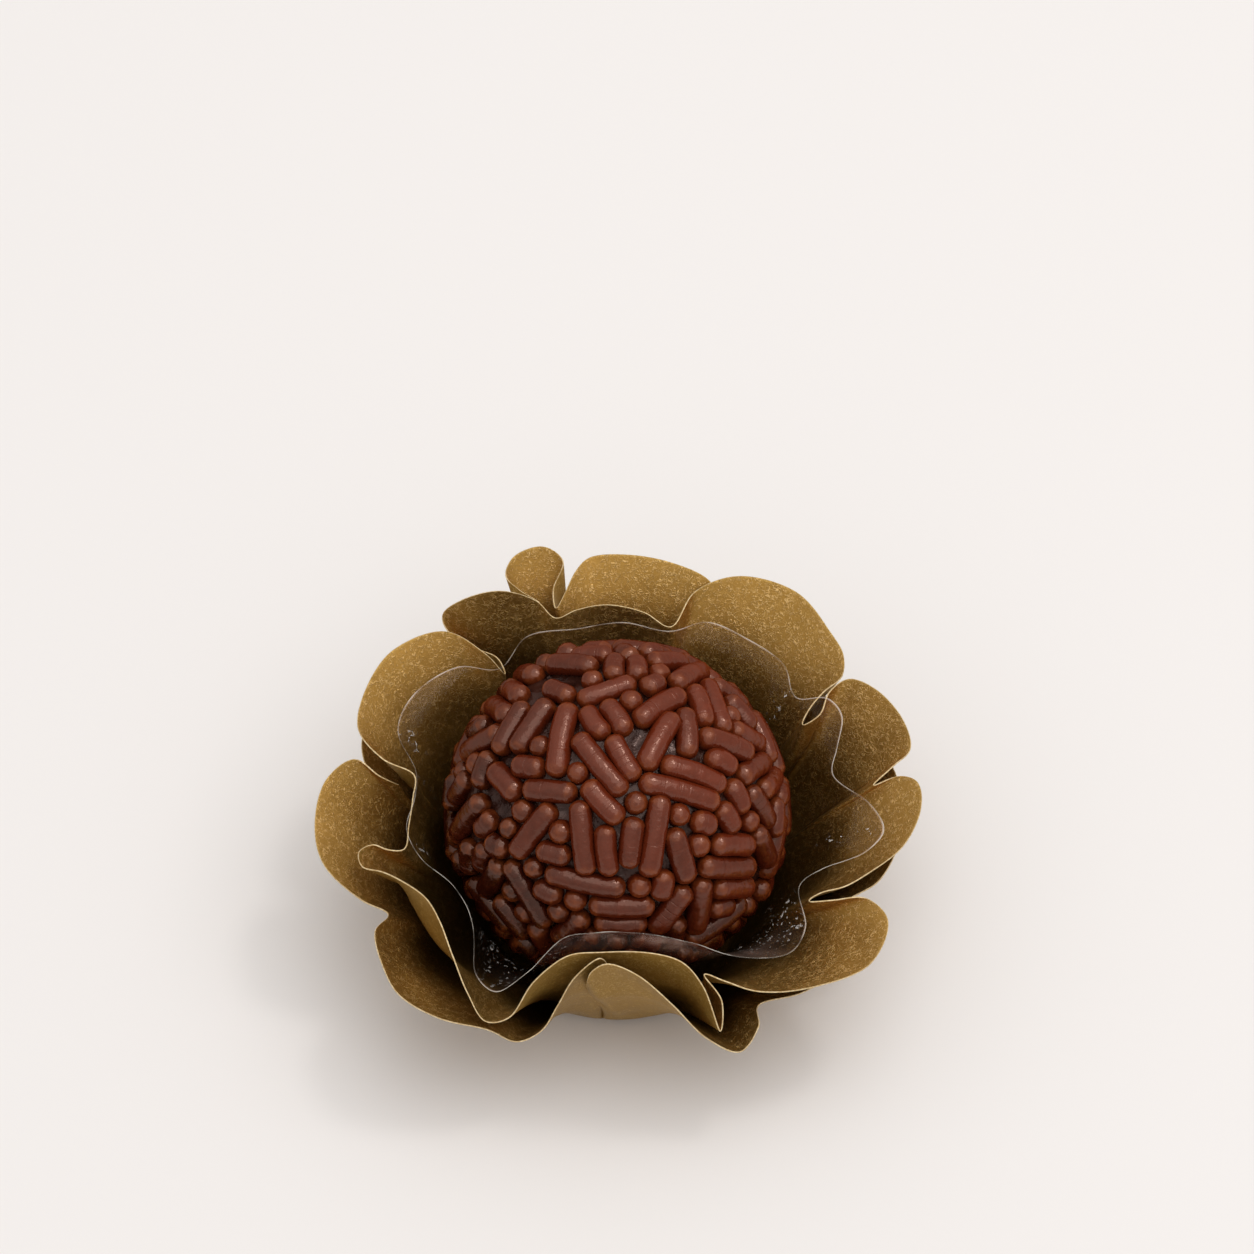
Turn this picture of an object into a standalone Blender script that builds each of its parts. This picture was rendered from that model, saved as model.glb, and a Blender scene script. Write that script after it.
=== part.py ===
"""Brigadeiro: a sprinkled fudge ball in a clear liner and two ruffled paper cups.

Metres, +Z up. The origin is the middle of the outer cup's underside and the
front is -Y. Rim stops are written in degrees and millimetres.
"""

import math
from dataclasses import dataclass

import bmesh
import bpy
from mathutils import Vector, noise

MM = 0.001

PAPER_THICKNESS = 0.20 * MM
FILM_THICKNESS = 0.10 * MM
SHEET_GAP = 0.20 * MM  # air between nested sheets where they lie on each other

BALL_RADIUS = 15.0 * MM  # out to the tops of the sprinkles
BALL_FLAT_DEPTH = 0.5 * MM  # how far the soft ball settles on its liner
BALL_LUMP_HEIGHT = 0.22 * MM
BALL_LUMP_SIZE = 4.5 * MM
BALL_SUBDIVISIONS = 4

CUP_FLOOR_RADIUS = 9.8 * MM  # the liner's flat floor
CUP_WALL_RADIUS = 15.45 * MM  # the liner's wall where the ball is widest
CUP_WALL_HEIGHT = 12.5 * MM  # where the rounded wall turns upright
CUP_ROUNDNESS = 0.7  # power of the wall's rise, under 1 for a bowl
NEST_STEP = 0.5 * MM  # extra radius of each cup outside the liner

WALL_ROWS = (0.0, 0.10, 0.26, 0.46, 0.66, 0.84, 1.0)  # shares of the wall's height
PAPER_FLARE = 1.7  # power of a petal's outward swing over its height
FILM_FLARE = 6.0  # the film stays by the ball and turns out at its rim
PAPER_STEP = 2.5 * MM  # longest edge along a paper rim
FILM_STEP = 3.0 * MM
SHARPEST_TURN = 50  # degrees that the rim turns along one edge
SMALLEST_FOOT = 2.0  # degrees of floor between two stops
CLOSEST_STOPS = 1e-6 * MM  # keeps the curve's spacing above zero


@dataclass(frozen=True)
class Stop:
    """A place that the rim passes: degrees round, millimetres out and up."""

    azimuth: float
    reach: float
    height: float
    belly: float = 0.0  # millimetres that the wall below bulges at half height


@dataclass(frozen=True)
class Petal:
    """One petal's rim, counterclockwise, and the pinch that closes it."""

    name: str
    rim: tuple
    pinch: Stop
    foot: float = None  # azimuth where the pinch's crease meets the floor
    flare: float = None  # power of the outward swing, the cup's own by default

    def foot_azimuth(self):
        """Return the crease's foot, which is right below the pinch by default."""
        return self.pinch.azimuth if self.foot is None else self.foot


@dataclass(frozen=True)
class Cup:
    """A nested sheet: its place in the stack, its section and its petals."""

    name: str
    layer: int  # 0 for the liner, counted outwards
    floor: float
    thickness: float
    flare: float
    step: float
    petals: tuple


INNER_PETALS = (
    Petal("front tip", (Stop(-79, 17.1, 18.1), Stop(-71.5, 18.2, 17.3), Stop(-68, 19.9, 15.5),
                        Stop(-66.4, 22.3, 11.8), Stop(-64, 20.6, 13.6)), Stop(-65.8, 18.4, 15.0), -63.0),
    Petal("front right", (Stop(-61.5, 19.6, 14.6), Stop(-55, 21.4, 13.5), Stop(-44.6, 23.9, 13.2),
                          Stop(-34, 26.3, 13.7), Stop(-24.5, 25.6, 14.4), Stop(-22.0, 23.2, 14.8),
                          Stop(-25.5, 20.6, 14.8)), Stop(-28.0, 18.8, 14.6), -26.0, 3.2),
    Petal("right low", (Stop(-23.0, 19.2, 14.0), Stop(-18.0, 20.9, 13.6), Stop(-13.3, 22.5, 13.8),
                        Stop(-7.5, 24.9, 14.9), Stop(0.5, 26.3, 15.6), Stop(6.8, 26.2, 15.6),
                        Stop(9.8, 24.8, 14.9)), Stop(9.6, 22.6, 14.2), flare=2.6),
    Petal("right high", (Stop(12.6, 24.6, 14.8), Stop(14.3, 26.3, 15.7), Stop(20, 26.5, 16.5),
                         Stop(27.5, 25.4, 17.4), Stop(32.3, 23.9, 17.5), Stop(32.4, 22.0, 17.0),
                         Stop(28.8, 20.2, 16.5)),
          Stop(28.9, 18.5, 16.0)),
    Petal("back right", (Stop(32.2, 19.8, 16.0), Stop(34.2, 21.9, 16.4), Stop(34.4, 23.8, 17.0),
                         Stop(37.2, 24.8, 18.0),
                         Stop(42.5, 25.3, 18.5), Stop(53.4, 26.3, 19.0), Stop(65, 25.2, 19.0),
                         Stop(72.3, 22.7, 18.4)), Stop(75.3, 18.7, 18.0), flare=2.5),
    Petal("back low", (Stop(82.6, 19.2, 18.8), Stop(92.1, 19.5, 19.3), Stop(100.2, 19.6, 18.8)),
          Stop(105.6, 19.6, 18.2), flare=1.4),
    Petal("back left", (Stop(109.3, 21.0, 19.4), Stop(117, 22.3, 20.8), Stop(124.9, 23.8, 19.8),
                        Stop(128.2, 24.5, 18.0), Stop(128.6, 23.1, 16.9), Stop(125.2, 21.3, 15.8),
                        Stop(122.0, 19.6, 15.5)),
          Stop(123.2, 17.7, 15.5), 125.5, 1.3),
    Petal("left high", (Stop(125.9, 19.3, 17.3), Stop(130.8, 22.8, 18.4), Stop(142, 24.7, 18.3),
                        Stop(153, 24.5, 17.7), Stop(161.5, 23.5, 17.3), Stop(165.8, 20.9, 16.3)),
          Stop(168.3, 17.8, 15.9), flare=2.6),
    Petal("left curl", (Stop(175, 17.6, 15.4), Stop(184, 17.9, 15.2), Stop(191.5, 18.6, 15.1),
                        Stop(191.3, 20.0, 15.3), Stop(189.3, 21.2, 15.4), Stop(190.6, 22.5, 15.3),
                        Stop(194.2, 22.5, 15.1), Stop(197.5, 21.1, 15.5)), Stop(202.5, 20.0, 16.0, 1.7),
          flare=2.4),
    Petal("front left curl", (Stop(211.5, 19.0, 16.5, 2.5), Stop(219, 19.4, 16.5, 2.3),
                              Stop(228, 20.7, 15.5, 1.3), Stop(235, 22.0, 13.9), Stop(240.5, 22.6, 12.2),
                              Stop(245, 21.7, 12.7), Stop(249, 19.4, 15.8), Stop(256, 17.4, 17.8)),
          Stop(265.2, 16.65, 18.0), flare=2.0),
)

OUTER_PETALS = (
    Petal("front flap", (Stop(-84, 18.2, 16.7), Stop(-76, 20.0, 14.2), Stop(-69, 22.0, 10.7),
                         Stop(-63.2, 23.6, 9.6), Stop(-58, 23.0, 11.0)), Stop(-54.0, 20.8, 10.5)),
    Petal("under front right", (Stop(-44, 22.2, 10.3), Stop(-33, 23.6, 11.0), Stop(-24, 23.0, 11.5)),
          Stop(-20.5, 20.2, 11.0), flare=2.4),
    Petal("under right", (Stop(-12, 23.2, 12.0), Stop(1, 24.8, 12.8), Stop(14, 24.9, 13.2),
                          Stop(27, 23.2, 13.6)), Stop(32.5, 20.6, 13.2)),
    Petal("under back right", (Stop(38, 22.8, 13.8), Stop(47, 24.4, 14.7), Stop(58, 24.9, 15.3)),
          Stop(66.5, 23.8, 15.9), flare=2.2),
    Petal("back", (Stop(71, 24.9, 17.5), Stop(79, 25.4, 18.2), Stop(88, 25.6, 18.5),
                   Stop(95.3, 25.5, 18.3), Stop(98.3, 24.5, 17.9), Stop(101.2, 22.9, 17.2)),
          Stop(103.9, 21.8, 16.6), 98.5, 2.4),
    Petal("back curl", (Stop(103.4, 23.7, 16.9), Stop(100.4, 25.9, 17.8), Stop(103.5, 27.3, 18.4),
                        Stop(109.2, 27.2, 18.1), Stop(111.9, 25.9, 17.5), Stop(110.2, 24.4, 16.9)),
          Stop(107.1, 22.8, 16.4), 113.0),
    Petal("under back left", (Stop(113, 23.1, 16.1), Stop(119.5, 24.3, 14.7), Stop(126, 23.8, 14.2)),
          Stop(131.5, 21.9, 12.8)),
    Petal("under left", (Stop(139, 23.6, 13.2), Stop(149, 24.3, 13.6), Stop(157.5, 23.9, 13.6),
                         Stop(164.3, 22.3, 13.4)), Stop(168.6, 19.2, 14.2), flare=2.4),
    Petal("left", (Stop(169.4, 20.8, 15.5), Stop(167.8, 23.1, 16.5), Stop(173, 25.2, 16.0),
                   Stop(184.5, 26.0, 15.5), Stop(192, 25.6, 14.9), Stop(199, 23.2, 13.0, 0.8)),
          Stop(203.6, 21.4, 12.4, 1.0), flare=2.0),
    Petal("front left", (Stop(209, 23.6, 13.8, 1.0), Stop(217, 25.0, 14.0, 1.0),
                         Stop(224, 25.7, 13.5, 0.8), Stop(232, 24.7, 12.4)), Stop(241, 22.7, 11.2),
          flare=1.4),
    Petal("front scoop", (Stop(247, 21.6, 9.4), Stop(251.5, 20.3, 10.0), Stop(255, 19.2, 12.8),
                          Stop(259, 18.1, 16.0)), Stop(265.2, 17.3, 17.9)),
)

FILM_PETALS = (
    Petal("front right", (Stop(-84, 15.9, 19.8), Stop(-68, 17.2, 18.5), Stop(-58, 19.4, 17.2),
                          Stop(-46, 21.2, 15.9), Stop(-37, 20.3, 15.6)), Stop(-28.8, 17.9, 16.5)),
    Petal("right", (Stop(-21, 19.1, 16.6), Stop(-13.5, 22.0, 16.6), Stop(-6.5, 23.2, 16.5),
                    Stop(0.5, 21.9, 16.4)), Stop(9.0, 19.0, 16.8)),
    Petal("back right", (Stop(16, 19.9, 17.4), Stop(23.5, 21.3, 18.1), Stop(29, 20.9, 18.3)),
          Stop(33.5, 18.8, 18.0)),
    Petal("back", (Stop(44, 20.2, 18.0), Stop(56, 20.3, 18.0), Stop(67, 20.3, 17.9)),
          Stop(75.0, 17.9, 18.4)),
    Petal("back left", (Stop(87.9, 18.2, 18.5), Stop(100.6, 17.9, 18.4), Stop(114.9, 18.5, 18.3)),
          Stop(125.2, 17.5, 17.0)),
    Petal("left", (Stop(134, 19.8, 17.3), Stop(147, 20.9, 17.2), Stop(158, 20.4, 16.9)),
          Stop(169.2, 17.5, 16.5)),
    Petal("front left", (Stop(177, 17.4, 16.3), Stop(188, 18.2, 16.3), Stop(200, 17.6, 16.6)),
          Stop(213, 16.6, 17.2)),
    Petal("front left dip", (Stop(226, 17.6, 16.7), Stop(234.5, 20.6, 14.9), Stop(240.5, 20.9, 14.4),
                             Stop(247, 18.9, 16.4), Stop(255, 16.4, 19.2)), Stop(265, 15.9, 19.9)),
)

OUTER_FLOOR = PAPER_THICKNESS / 2
INNER_FLOOR = OUTER_FLOOR + PAPER_THICKNESS + SHEET_GAP
FILM_FLOOR = INNER_FLOOR + PAPER_THICKNESS / 2 + SHEET_GAP + FILM_THICKNESS / 2
BALL_FLOOR = FILM_FLOOR + FILM_THICKNESS / 2 + SHEET_GAP

CUPS = (
    Cup("outer_paper_cup", 2, OUTER_FLOOR, PAPER_THICKNESS, PAPER_FLARE, PAPER_STEP, OUTER_PETALS),
    Cup("inner_paper_cup", 1, INNER_FLOOR, PAPER_THICKNESS, PAPER_FLARE, PAPER_STEP, INNER_PETALS),
    Cup("clear_liner", 0, FILM_FLOOR, FILM_THICKNESS, FILM_FLARE, FILM_STEP, FILM_PETALS),
)


def clear_scene():
    """Remove the objects that the file opened with."""
    for item in list(bpy.data.objects):
        bpy.data.objects.remove(item, do_unlink=True)


def material(name, colour, roughness, metallic=0.0, alpha=1.0):
    """Return a Principled material of one colour."""
    finish = bpy.data.materials.new(name)
    finish.use_nodes = True
    finish.diffuse_color = (*colour, 1.0)
    shader = finish.node_tree.nodes["Principled BSDF"]
    shader.inputs["Base Color"].default_value = (*colour, 1.0)
    shader.inputs["Roughness"].default_value = roughness
    shader.inputs["Metallic"].default_value = metallic
    shader.inputs["Alpha"].default_value = alpha
    return finish


def cup_radius(height, layer):
    """Radius of a cup's rounded wall at a height above its own floor."""
    rise = min(1.0, max(0.0, height) / CUP_WALL_HEIGHT) ** CUP_ROUNDNESS
    return CUP_FLOOR_RADIUS + (CUP_WALL_RADIUS - CUP_FLOOR_RADIUS) * rise + NEST_STEP * layer


def place(stop):
    """Return a stop's place in metres."""
    turn = math.radians(stop.azimuth)
    return Vector((stop.reach * math.cos(turn), stop.reach * math.sin(turn), stop.height)) * MM


def petal_feet(start, first, petal):
    """Give each stop its foot on the floor, half by its spacing and half by its azimuth."""
    run = [start, *petal.rim, petal.pinch]
    lengths = [0.0]
    for before, after in zip(run, run[1:]):
        lengths.append(lengths[-1] + (place(after) - place(before)).length)
    last = petal.foot_azimuth()
    room = min(SMALLEST_FOOT, (last - first) / (len(run) - 1))
    feet = [first]
    for stop, length in zip(run[1:], lengths[1:]):
        by_spacing = first + (last - first) * length / lengths[-1]
        by_azimuth = min(last, max(first, stop.azimuth))
        feet.append(max(feet[-1] + room, (by_spacing + by_azimuth) / 2))
    feet[-1] = last
    for i in range(len(feet) - 2, 0, -1):
        feet[i] = min(feet[i], feet[i + 1] - room)
    return feet[1:]


def rim_controls(cup):
    """Return every stop's place, foot azimuth, belly and flare, in order round the rim."""
    controls = []
    start = cup.petals[-1].pinch
    first = cup.petals[-1].foot_azimuth() - 360
    for petal in cup.petals:
        for stop, foot in zip([*petal.rim, petal.pinch], petal_feet(start, first, petal)):
            controls.append((place(stop), foot, stop.belly * MM, petal.flare or cup.flare))
        start = petal.pinch
        first = petal.foot_azimuth()
    return controls


def curve_point(p0, p1, p2, p3, share):
    """Point of a centripetal Catmull-Rom curve between p1 and p2."""
    k01 = max((p1 - p0).length, CLOSEST_STOPS) ** 0.5
    k12 = max((p2 - p1).length, CLOSEST_STOPS) ** 0.5
    k23 = max((p3 - p2).length, CLOSEST_STOPS) ** 0.5
    tangent1 = ((p1 - p0) / k01 - (p2 - p0) / (k01 + k12) + (p2 - p1) / k12) * k12
    tangent2 = ((p2 - p1) / k12 - (p3 - p1) / (k12 + k23) + (p3 - p2) / k23) * k12
    s2 = share * share
    s3 = s2 * share
    return (p1 * (2 * s3 - 3 * s2 + 1) + tangent1 * (s3 - 2 * s2 + share)
            + p2 * (3 * s2 - 2 * s3) + tangent2 * (s3 - s2))


def rim_samples(cup):
    """Sample the rim at least every step: places, feet, bellies and flares."""
    controls = rim_controls(cup)
    count = len(controls)
    samples = []
    for index, (here, foot, belly, flare) in enumerate(controls):
        before = controls[index - 1][0]
        after, next_foot, next_belly, next_flare = controls[(index + 1) % count]
        beyond = controls[(index + 2) % count][0]
        gain = (next_foot - foot) % 360
        turn = math.degrees((here - before).angle(beyond - after))
        cuts = max(1, round((after - here).length / cup.step), round(turn / SHARPEST_TURN))
        for cut in range(cuts):
            share = cut / cuts
            samples.append((curve_point(before, here, after, beyond, share),
                            math.radians(foot + gain * share),
                            belly + (next_belly - belly) * share,
                            flare + (next_flare - flare) * share))
    return samples


def wall_point(cup, rim, foot, belly, flare, share):
    """Place of the wall at a share of its height below one rim sample."""
    outward = Vector((math.cos(foot), math.sin(foot), 0.0))
    full_height = rim.z - cup.floor
    top = outward * cup_radius(full_height, cup.layer)
    swing = Vector((rim.x, rim.y, 0.0)) - top
    radius = cup_radius(full_height * share, cup.layer) + belly * math.sin(math.pi * share)
    spot = outward * radius + swing * share ** flare
    spot.z = cup.floor + full_height * share
    return spot


def link(item, collection, finish):
    """Put an object in the collection and give it its material."""
    collection.objects.link(item)
    item.data.materials.append(finish)
    return item


def make_cup(cup, collection, finish):
    """Loft a sheet from its round floor to its rim and give it thickness."""
    shape = bmesh.new()
    samples = rim_samples(cup)
    rows = []
    for share in WALL_ROWS:
        rows.append([shape.verts.new(wall_point(cup, *sample, share)) for sample in samples])
    for lower, upper in zip(rows, rows[1:]):
        for i in range(len(samples)):
            j = (i + 1) % len(samples)
            shape.faces.new((lower[i], lower[j], upper[j], upper[i]))
    shape.faces.new(list(reversed(rows[0])))
    for face in shape.faces:
        face.smooth = True
    mesh = bpy.data.meshes.new(cup.name)
    shape.to_mesh(mesh)
    shape.free()
    sheet = link(bpy.data.objects.new(cup.name, mesh), collection, finish)
    solid = sheet.modifiers.new("thickness", "SOLIDIFY")
    solid.thickness = cup.thickness
    solid.offset = 0.0
    return sheet


def make_ball(collection, finish):
    """Make the ball out to its sprinkles' uneven outline, settled on its floor."""
    shape = bmesh.new()
    bmesh.ops.create_icosphere(shape, subdivisions=BALL_SUBDIVISIONS, radius=BALL_RADIUS)
    centre = Vector((0.0, 0.0, BALL_FLOOR + BALL_RADIUS - BALL_FLAT_DEPTH))
    for vert in shape.verts:
        lump = noise.noise(vert.co / BALL_LUMP_SIZE) * BALL_LUMP_HEIGHT
        vert.co += vert.co.normalized() * lump + centre
        vert.co.z = max(vert.co.z, BALL_FLOOR)
    for face in shape.faces:
        face.smooth = True
    mesh = bpy.data.meshes.new("chocolate_ball")
    shape.to_mesh(mesh)
    shape.free()
    return link(bpy.data.objects.new("chocolate_ball", mesh), collection, finish)


def build():
    """Build the four nested pieces."""
    clear_scene()
    collection = bpy.data.collections.new("brigadeiro")
    bpy.context.scene.collection.children.link(collection)
    finishes = {
        "outer_paper_cup": material("outer paper", (0.30, 0.19, 0.07), 0.42, 0.75),
        "inner_paper_cup": material("inner paper", (0.33, 0.21, 0.08), 0.40, 0.75),
        "clear_liner": material("clear film", (0.90, 0.90, 0.88), 0.08, 0.0, 0.35),
    }
    for cup in CUPS:
        make_cup(cup, collection, finishes[cup.name])
    make_ball(collection, material("chocolate", (0.09, 0.028, 0.016), 0.38))


build()
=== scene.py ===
"""Looks of the brigadeiro: paper cups, clear liner, fudge ball and its sprinkles.

Metres, +Z up, with the front towards -Y. Rim stops are written in degrees and
millimetres, as a paper folder would note them.
"""

import logging
import math
from dataclasses import dataclass
from enum import Enum, IntEnum
from typing import Any, Sequence

import bmesh
import bpy
import numpy as np
from bpy.types import ID, GeometryNodeTree, Material, Mesh, NodeSocket, NodeTree, Object
from bpy.types import Node as TreeNode
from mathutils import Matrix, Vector, noise

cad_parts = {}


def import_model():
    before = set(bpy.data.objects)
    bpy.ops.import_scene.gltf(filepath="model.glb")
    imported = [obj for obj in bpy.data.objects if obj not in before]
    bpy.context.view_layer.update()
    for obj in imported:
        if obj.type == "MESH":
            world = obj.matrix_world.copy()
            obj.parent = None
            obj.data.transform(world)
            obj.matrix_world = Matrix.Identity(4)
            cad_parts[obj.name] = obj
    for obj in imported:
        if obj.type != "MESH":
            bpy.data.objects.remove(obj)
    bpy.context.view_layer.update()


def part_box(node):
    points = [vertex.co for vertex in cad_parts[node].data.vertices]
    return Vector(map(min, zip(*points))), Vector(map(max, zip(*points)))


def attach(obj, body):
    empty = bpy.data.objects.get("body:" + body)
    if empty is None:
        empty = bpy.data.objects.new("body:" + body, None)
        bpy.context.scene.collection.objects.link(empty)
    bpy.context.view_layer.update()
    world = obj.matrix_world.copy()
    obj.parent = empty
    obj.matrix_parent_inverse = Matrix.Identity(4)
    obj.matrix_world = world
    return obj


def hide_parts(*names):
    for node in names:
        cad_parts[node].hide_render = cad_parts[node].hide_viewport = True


MM = 0.001
BODY = "root"

Colour = tuple[float, float, float]

log = logging.getLogger("brigadeiro")


class Node(Enum):
    """The solids that the pieces stand for."""

    OUTER_CUP = "outer_paper_cup"
    INNER_CUP = "inner_paper_cup"
    LINER = "clear_liner"
    BALL = "chocolate_ball"


class Slot(Enum):
    """The material slots of the part's record."""

    OUTER_PAPER = "outer_paper"
    INNER_PAPER = "inner_paper"
    FILM = "clear_film"
    CHOCOLATE = "chocolate"


class Face(IntEnum):
    """Material numbers of a sheet's three kinds of face."""

    INSIDE = 0
    OUTSIDE = 1
    EDGE = 2


# ---- node trees


class Graph:
    """Adds and links the nodes of one tree."""

    def __init__(self, tree: NodeTree) -> None:
        """Start from an empty tree.

        Args:
            tree: The shader or geometry tree to fill.
        """
        self.tree = tree
        tree.nodes.clear()

    def add(self, kind: str, inputs: dict[Any, Any] | None = None, **options: Any) -> TreeNode:
        """Add a node, set its options and feed its inputs.

        Args:
            kind: The node's type.
            inputs: Values, sockets or nodes by input name or number.
            **options: Properties of the node.

        Returns:
            The new node.
        """
        node = self.tree.nodes.new(kind)
        for name, value in options.items():
            setattr(node, name, value)
        for key, value in (inputs or {}).items():
            if isinstance(value, TreeNode):
                value = value.outputs[0]
            if isinstance(value, NodeSocket):
                self.tree.links.new(value, node.inputs[key])
            else:
                node.inputs[key].default_value = value
        return node

    def place(self) -> NodeSocket:
        """Return the place on the piece, in metres."""
        return self.add("ShaderNodeTexCoord").outputs["Object"]

    def named(self, name: str) -> NodeSocket:
        """Return a named attribute's value."""
        return self.add("ShaderNodeAttribute", attribute_name=name).outputs["Fac"]

    def principled(self, inputs: dict[str, Any]) -> TreeNode:
        """Return a Principled shader."""
        return self.add("ShaderNodeBsdfPrincipled", inputs)

    def bump(self, strength: float, distance: float, height: Any, over: Any = None) -> TreeNode:
        """Return a normal bumped by height, over another bumped normal if there is one."""
        inputs = {"Strength": strength, "Distance": distance, "Height": height}
        if over is not None:
            inputs["Normal"] = over
        return self.add("ShaderNodeBump", inputs)

    def times(self, first: Any, second: Any, clamp: bool = False) -> NodeSocket:
        """Return the product of two values."""
        return self.math("MULTIPLY", first, second, clamp=clamp)

    def math(self, operation: str, first: Any, second: Any = 0.0, third: Any = 0.0,
             clamp: bool = False) -> NodeSocket:
        """Return the output of a Math node."""
        node = self.add("ShaderNodeMath", {0: first, 1: second, 2: third},
                        operation=operation, use_clamp=clamp)
        return node.outputs[0]

    def vector(self, operation: str, first: Any, second: Any = (0.0, 0.0, 0.0),
               scale: Any = 1.0) -> NodeSocket:
        """Return the output of a Vector Math node."""
        node = self.add("ShaderNodeVectorMath", {0: first, 1: second, 3: scale},
                        operation=operation)
        return node.outputs[0]

    def limit(self, value: Any) -> NodeSocket:
        """Return a value kept between -1 and 1."""
        return self.math("MINIMUM", self.math("MAXIMUM", value, -1.0), 1.0)

    def span(self, value: Any, low: float, high: float, to_low: float = 0.0,
             to_high: float = 1.0) -> NodeSocket:
        """Return value taken smoothly from one span to another."""
        node = self.add("ShaderNodeMapRange", {0: value, 1: low, 2: high, 3: to_low, 4: to_high},
                        interpolation_type="SMOOTHSTEP")
        return node.outputs[0]

    def blend(self, first: Any, second: Any, share: Any) -> NodeSocket:
        """Return a colour that is share of the way from first to second."""
        inputs = {0: share, 6: opaque(first), 7: opaque(second)}
        return self.add("ShaderNodeMix", inputs, data_type="RGBA").outputs[2]

    def grain(self, place: Any, size: float, detail: float = 2.0,
              distortion: float = 0.0) -> NodeSocket:
        """Return a cloudy noise of 0 to 1 whose lumps are about size metres."""
        inputs = {"Vector": place, "Scale": 1.0 / size, "Detail": detail,
                  "Distortion": distortion}
        return self.add("ShaderNodeTexNoise", inputs, noise_dimensions="3D").outputs[0]


def show(name: str, data: ID) -> Object:
    """Return a new object in the scene with its mesh, light or camera."""
    piece = bpy.data.objects.new(name, data)
    bpy.context.scene.collection.objects.link(piece)
    return piece


def wet(graph: Graph, colour: Any, sheen: Colour, share: float, rough: Any,
        relief: Any) -> TreeNode:
    """Mix a mirrored sheen, as strong at the edges as in the middle, over a matt colour.

    Args:
        graph: The shader's nodes.
        colour: The matt colour.
        sheen: The sheen's colour.
        share: How much of the light the sheen takes.
        rough: The sheen's roughness.
        relief: The bumped normal of both.

    Returns:
        The mixed shader.
    """
    matt = graph.principled({
        "Base Color": colour, "Roughness": 0.6, "Specular IOR Level": 0.0, "Normal": relief})
    gloss = graph.principled({
        "Base Color": opaque(sheen), "Metallic": 1.0, "Roughness": rough,
        "Specular Tint": opaque(sheen), "Normal": relief})
    return graph.add("ShaderNodeMixShader", {0: share, 1: matt, 2: gloss})


def opaque(colour: Any) -> Any:
    """Return a plain colour with full alpha, and leave sockets as they are."""
    if isinstance(colour, tuple) and len(colour) == 3:
        return (*colour, 1.0)
    return colour


# ---- finishes


@dataclass(frozen=True)
class Finish:
    """One surface finish, which builds its own material."""

    name: str

    def build(self) -> Material:
        """Return the material with its nodes."""
        finish = bpy.data.materials.new(self.name)
        finish.use_nodes = True
        graph = Graph(finish.node_tree)
        output = graph.add("ShaderNodeOutputMaterial")
        surface = self.surface(graph)
        graph.tree.links.new(surface.outputs[0], output.inputs["Surface"])
        return finish

    def surface(self, graph: Graph) -> TreeNode:
        """Return the shader node of the finish, which each kind of finish makes its own way."""
        raise NotImplementedError(self.name)


@dataclass(frozen=True)
class PaperFace(Finish):
    """Bronze metallic paper with short curly fibres under its ink, and painted shade low in the cup
    where it is asked for.
    """

    dark: Colour
    light: Colour
    fibre: Colour
    metallic: float = 1.0
    coat: float = 0.08
    gloss_low: float = 0.32
    gloss_high: float = 0.46
    fibre_size: float = 0.38 * MM
    fibre_depth: float = 0.022 * MM
    fibre_share: float = 0.75  # of the step from ink to fibre
    cloud_size: float = 7.0 * MM
    wrinkle_size: float = 1.6 * MM
    wrinkle_depth: float = 0.05 * MM
    painted_shade: float = 0.0  # share of painted shade: the ink made darker and more saturated low in the cup, near the ball
    painted_shade_tint: Colour = (0.32, 0.28, 0.2)
    painted_shade_depth: tuple[float, float] = (0.11, 0.40)  # shares of the wall below the rim
    worn_gain: float = 1.5
    worn_lift: float = 0.05
    fibre_line: tuple[float, float] = (0.01, 0.055)  # noise from a fibre's core to its edge

    def surface(self, graph: Graph) -> TreeNode:
        """Return the paper's shader."""
        place = graph.place()
        fibres = graph.grain(place, self.fibre_size, 1.0, 1.1)
        ridge = graph.math("ABSOLUTE", graph.math("SUBTRACT", fibres, 0.5))
        broken = graph.span(graph.grain(place, self.fibre_size * 1.6, 1.0), 0.35, 0.60, 0.30, 1.0)
        worm = graph.times(graph.span(ridge, *self.fibre_line, 1.0, 0.0), broken)
        clouds = graph.grain(place, self.cloud_size, 3.0)
        specks = graph.grain(place, self.fibre_size * 0.4, 1.0)
        tone = graph.math("MULTIPLY_ADD", clouds, 0.62, graph.times(specks, 0.30), clamp=True)
        ink = graph.blend(graph.blend(self.dark, self.light, tone), self.fibre,
                          graph.times(worm, self.fibre_share))
        # Painted shade: low on the wall, near the ball, the ink is blended towards a darker, more
        # saturated colour.
        deep = graph.named("deep")
        painted_shade_colour = tuple(part * share for part, share in zip(self.dark, self.painted_shade_tint))
        ink = graph.blend(ink, painted_shade_colour, graph.span(deep, *self.painted_shade_depth, 0.0, self.painted_shade))
        worn = graph.named("rub")
        rubbed = graph.times(worn, graph.span(specks, 0.35, 0.7, 0.1, 0.6))
        pale = tuple(min(1.0, part * self.worn_gain + self.worn_lift) for part in self.light)
        colour = graph.blend(ink, pale, rubbed)
        rough = graph.span(clouds, 0.25, 0.75, self.gloss_low, self.gloss_high)
        wrinkles = graph.grain(place, self.wrinkle_size, 3.0, 0.6)
        folds = graph.bump(0.5, self.wrinkle_depth, wrinkles)
        relief = graph.bump(0.9, self.fibre_depth, worm, folds)
        return graph.principled({
            "Base Color": colour, "Metallic": self.metallic, "Roughness": rough,
            "Normal": relief, "Specular IOR Level": 0.2, "Coat Weight": self.coat,
            "Coat Roughness": 0.35, "Coat Normal": relief})


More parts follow.
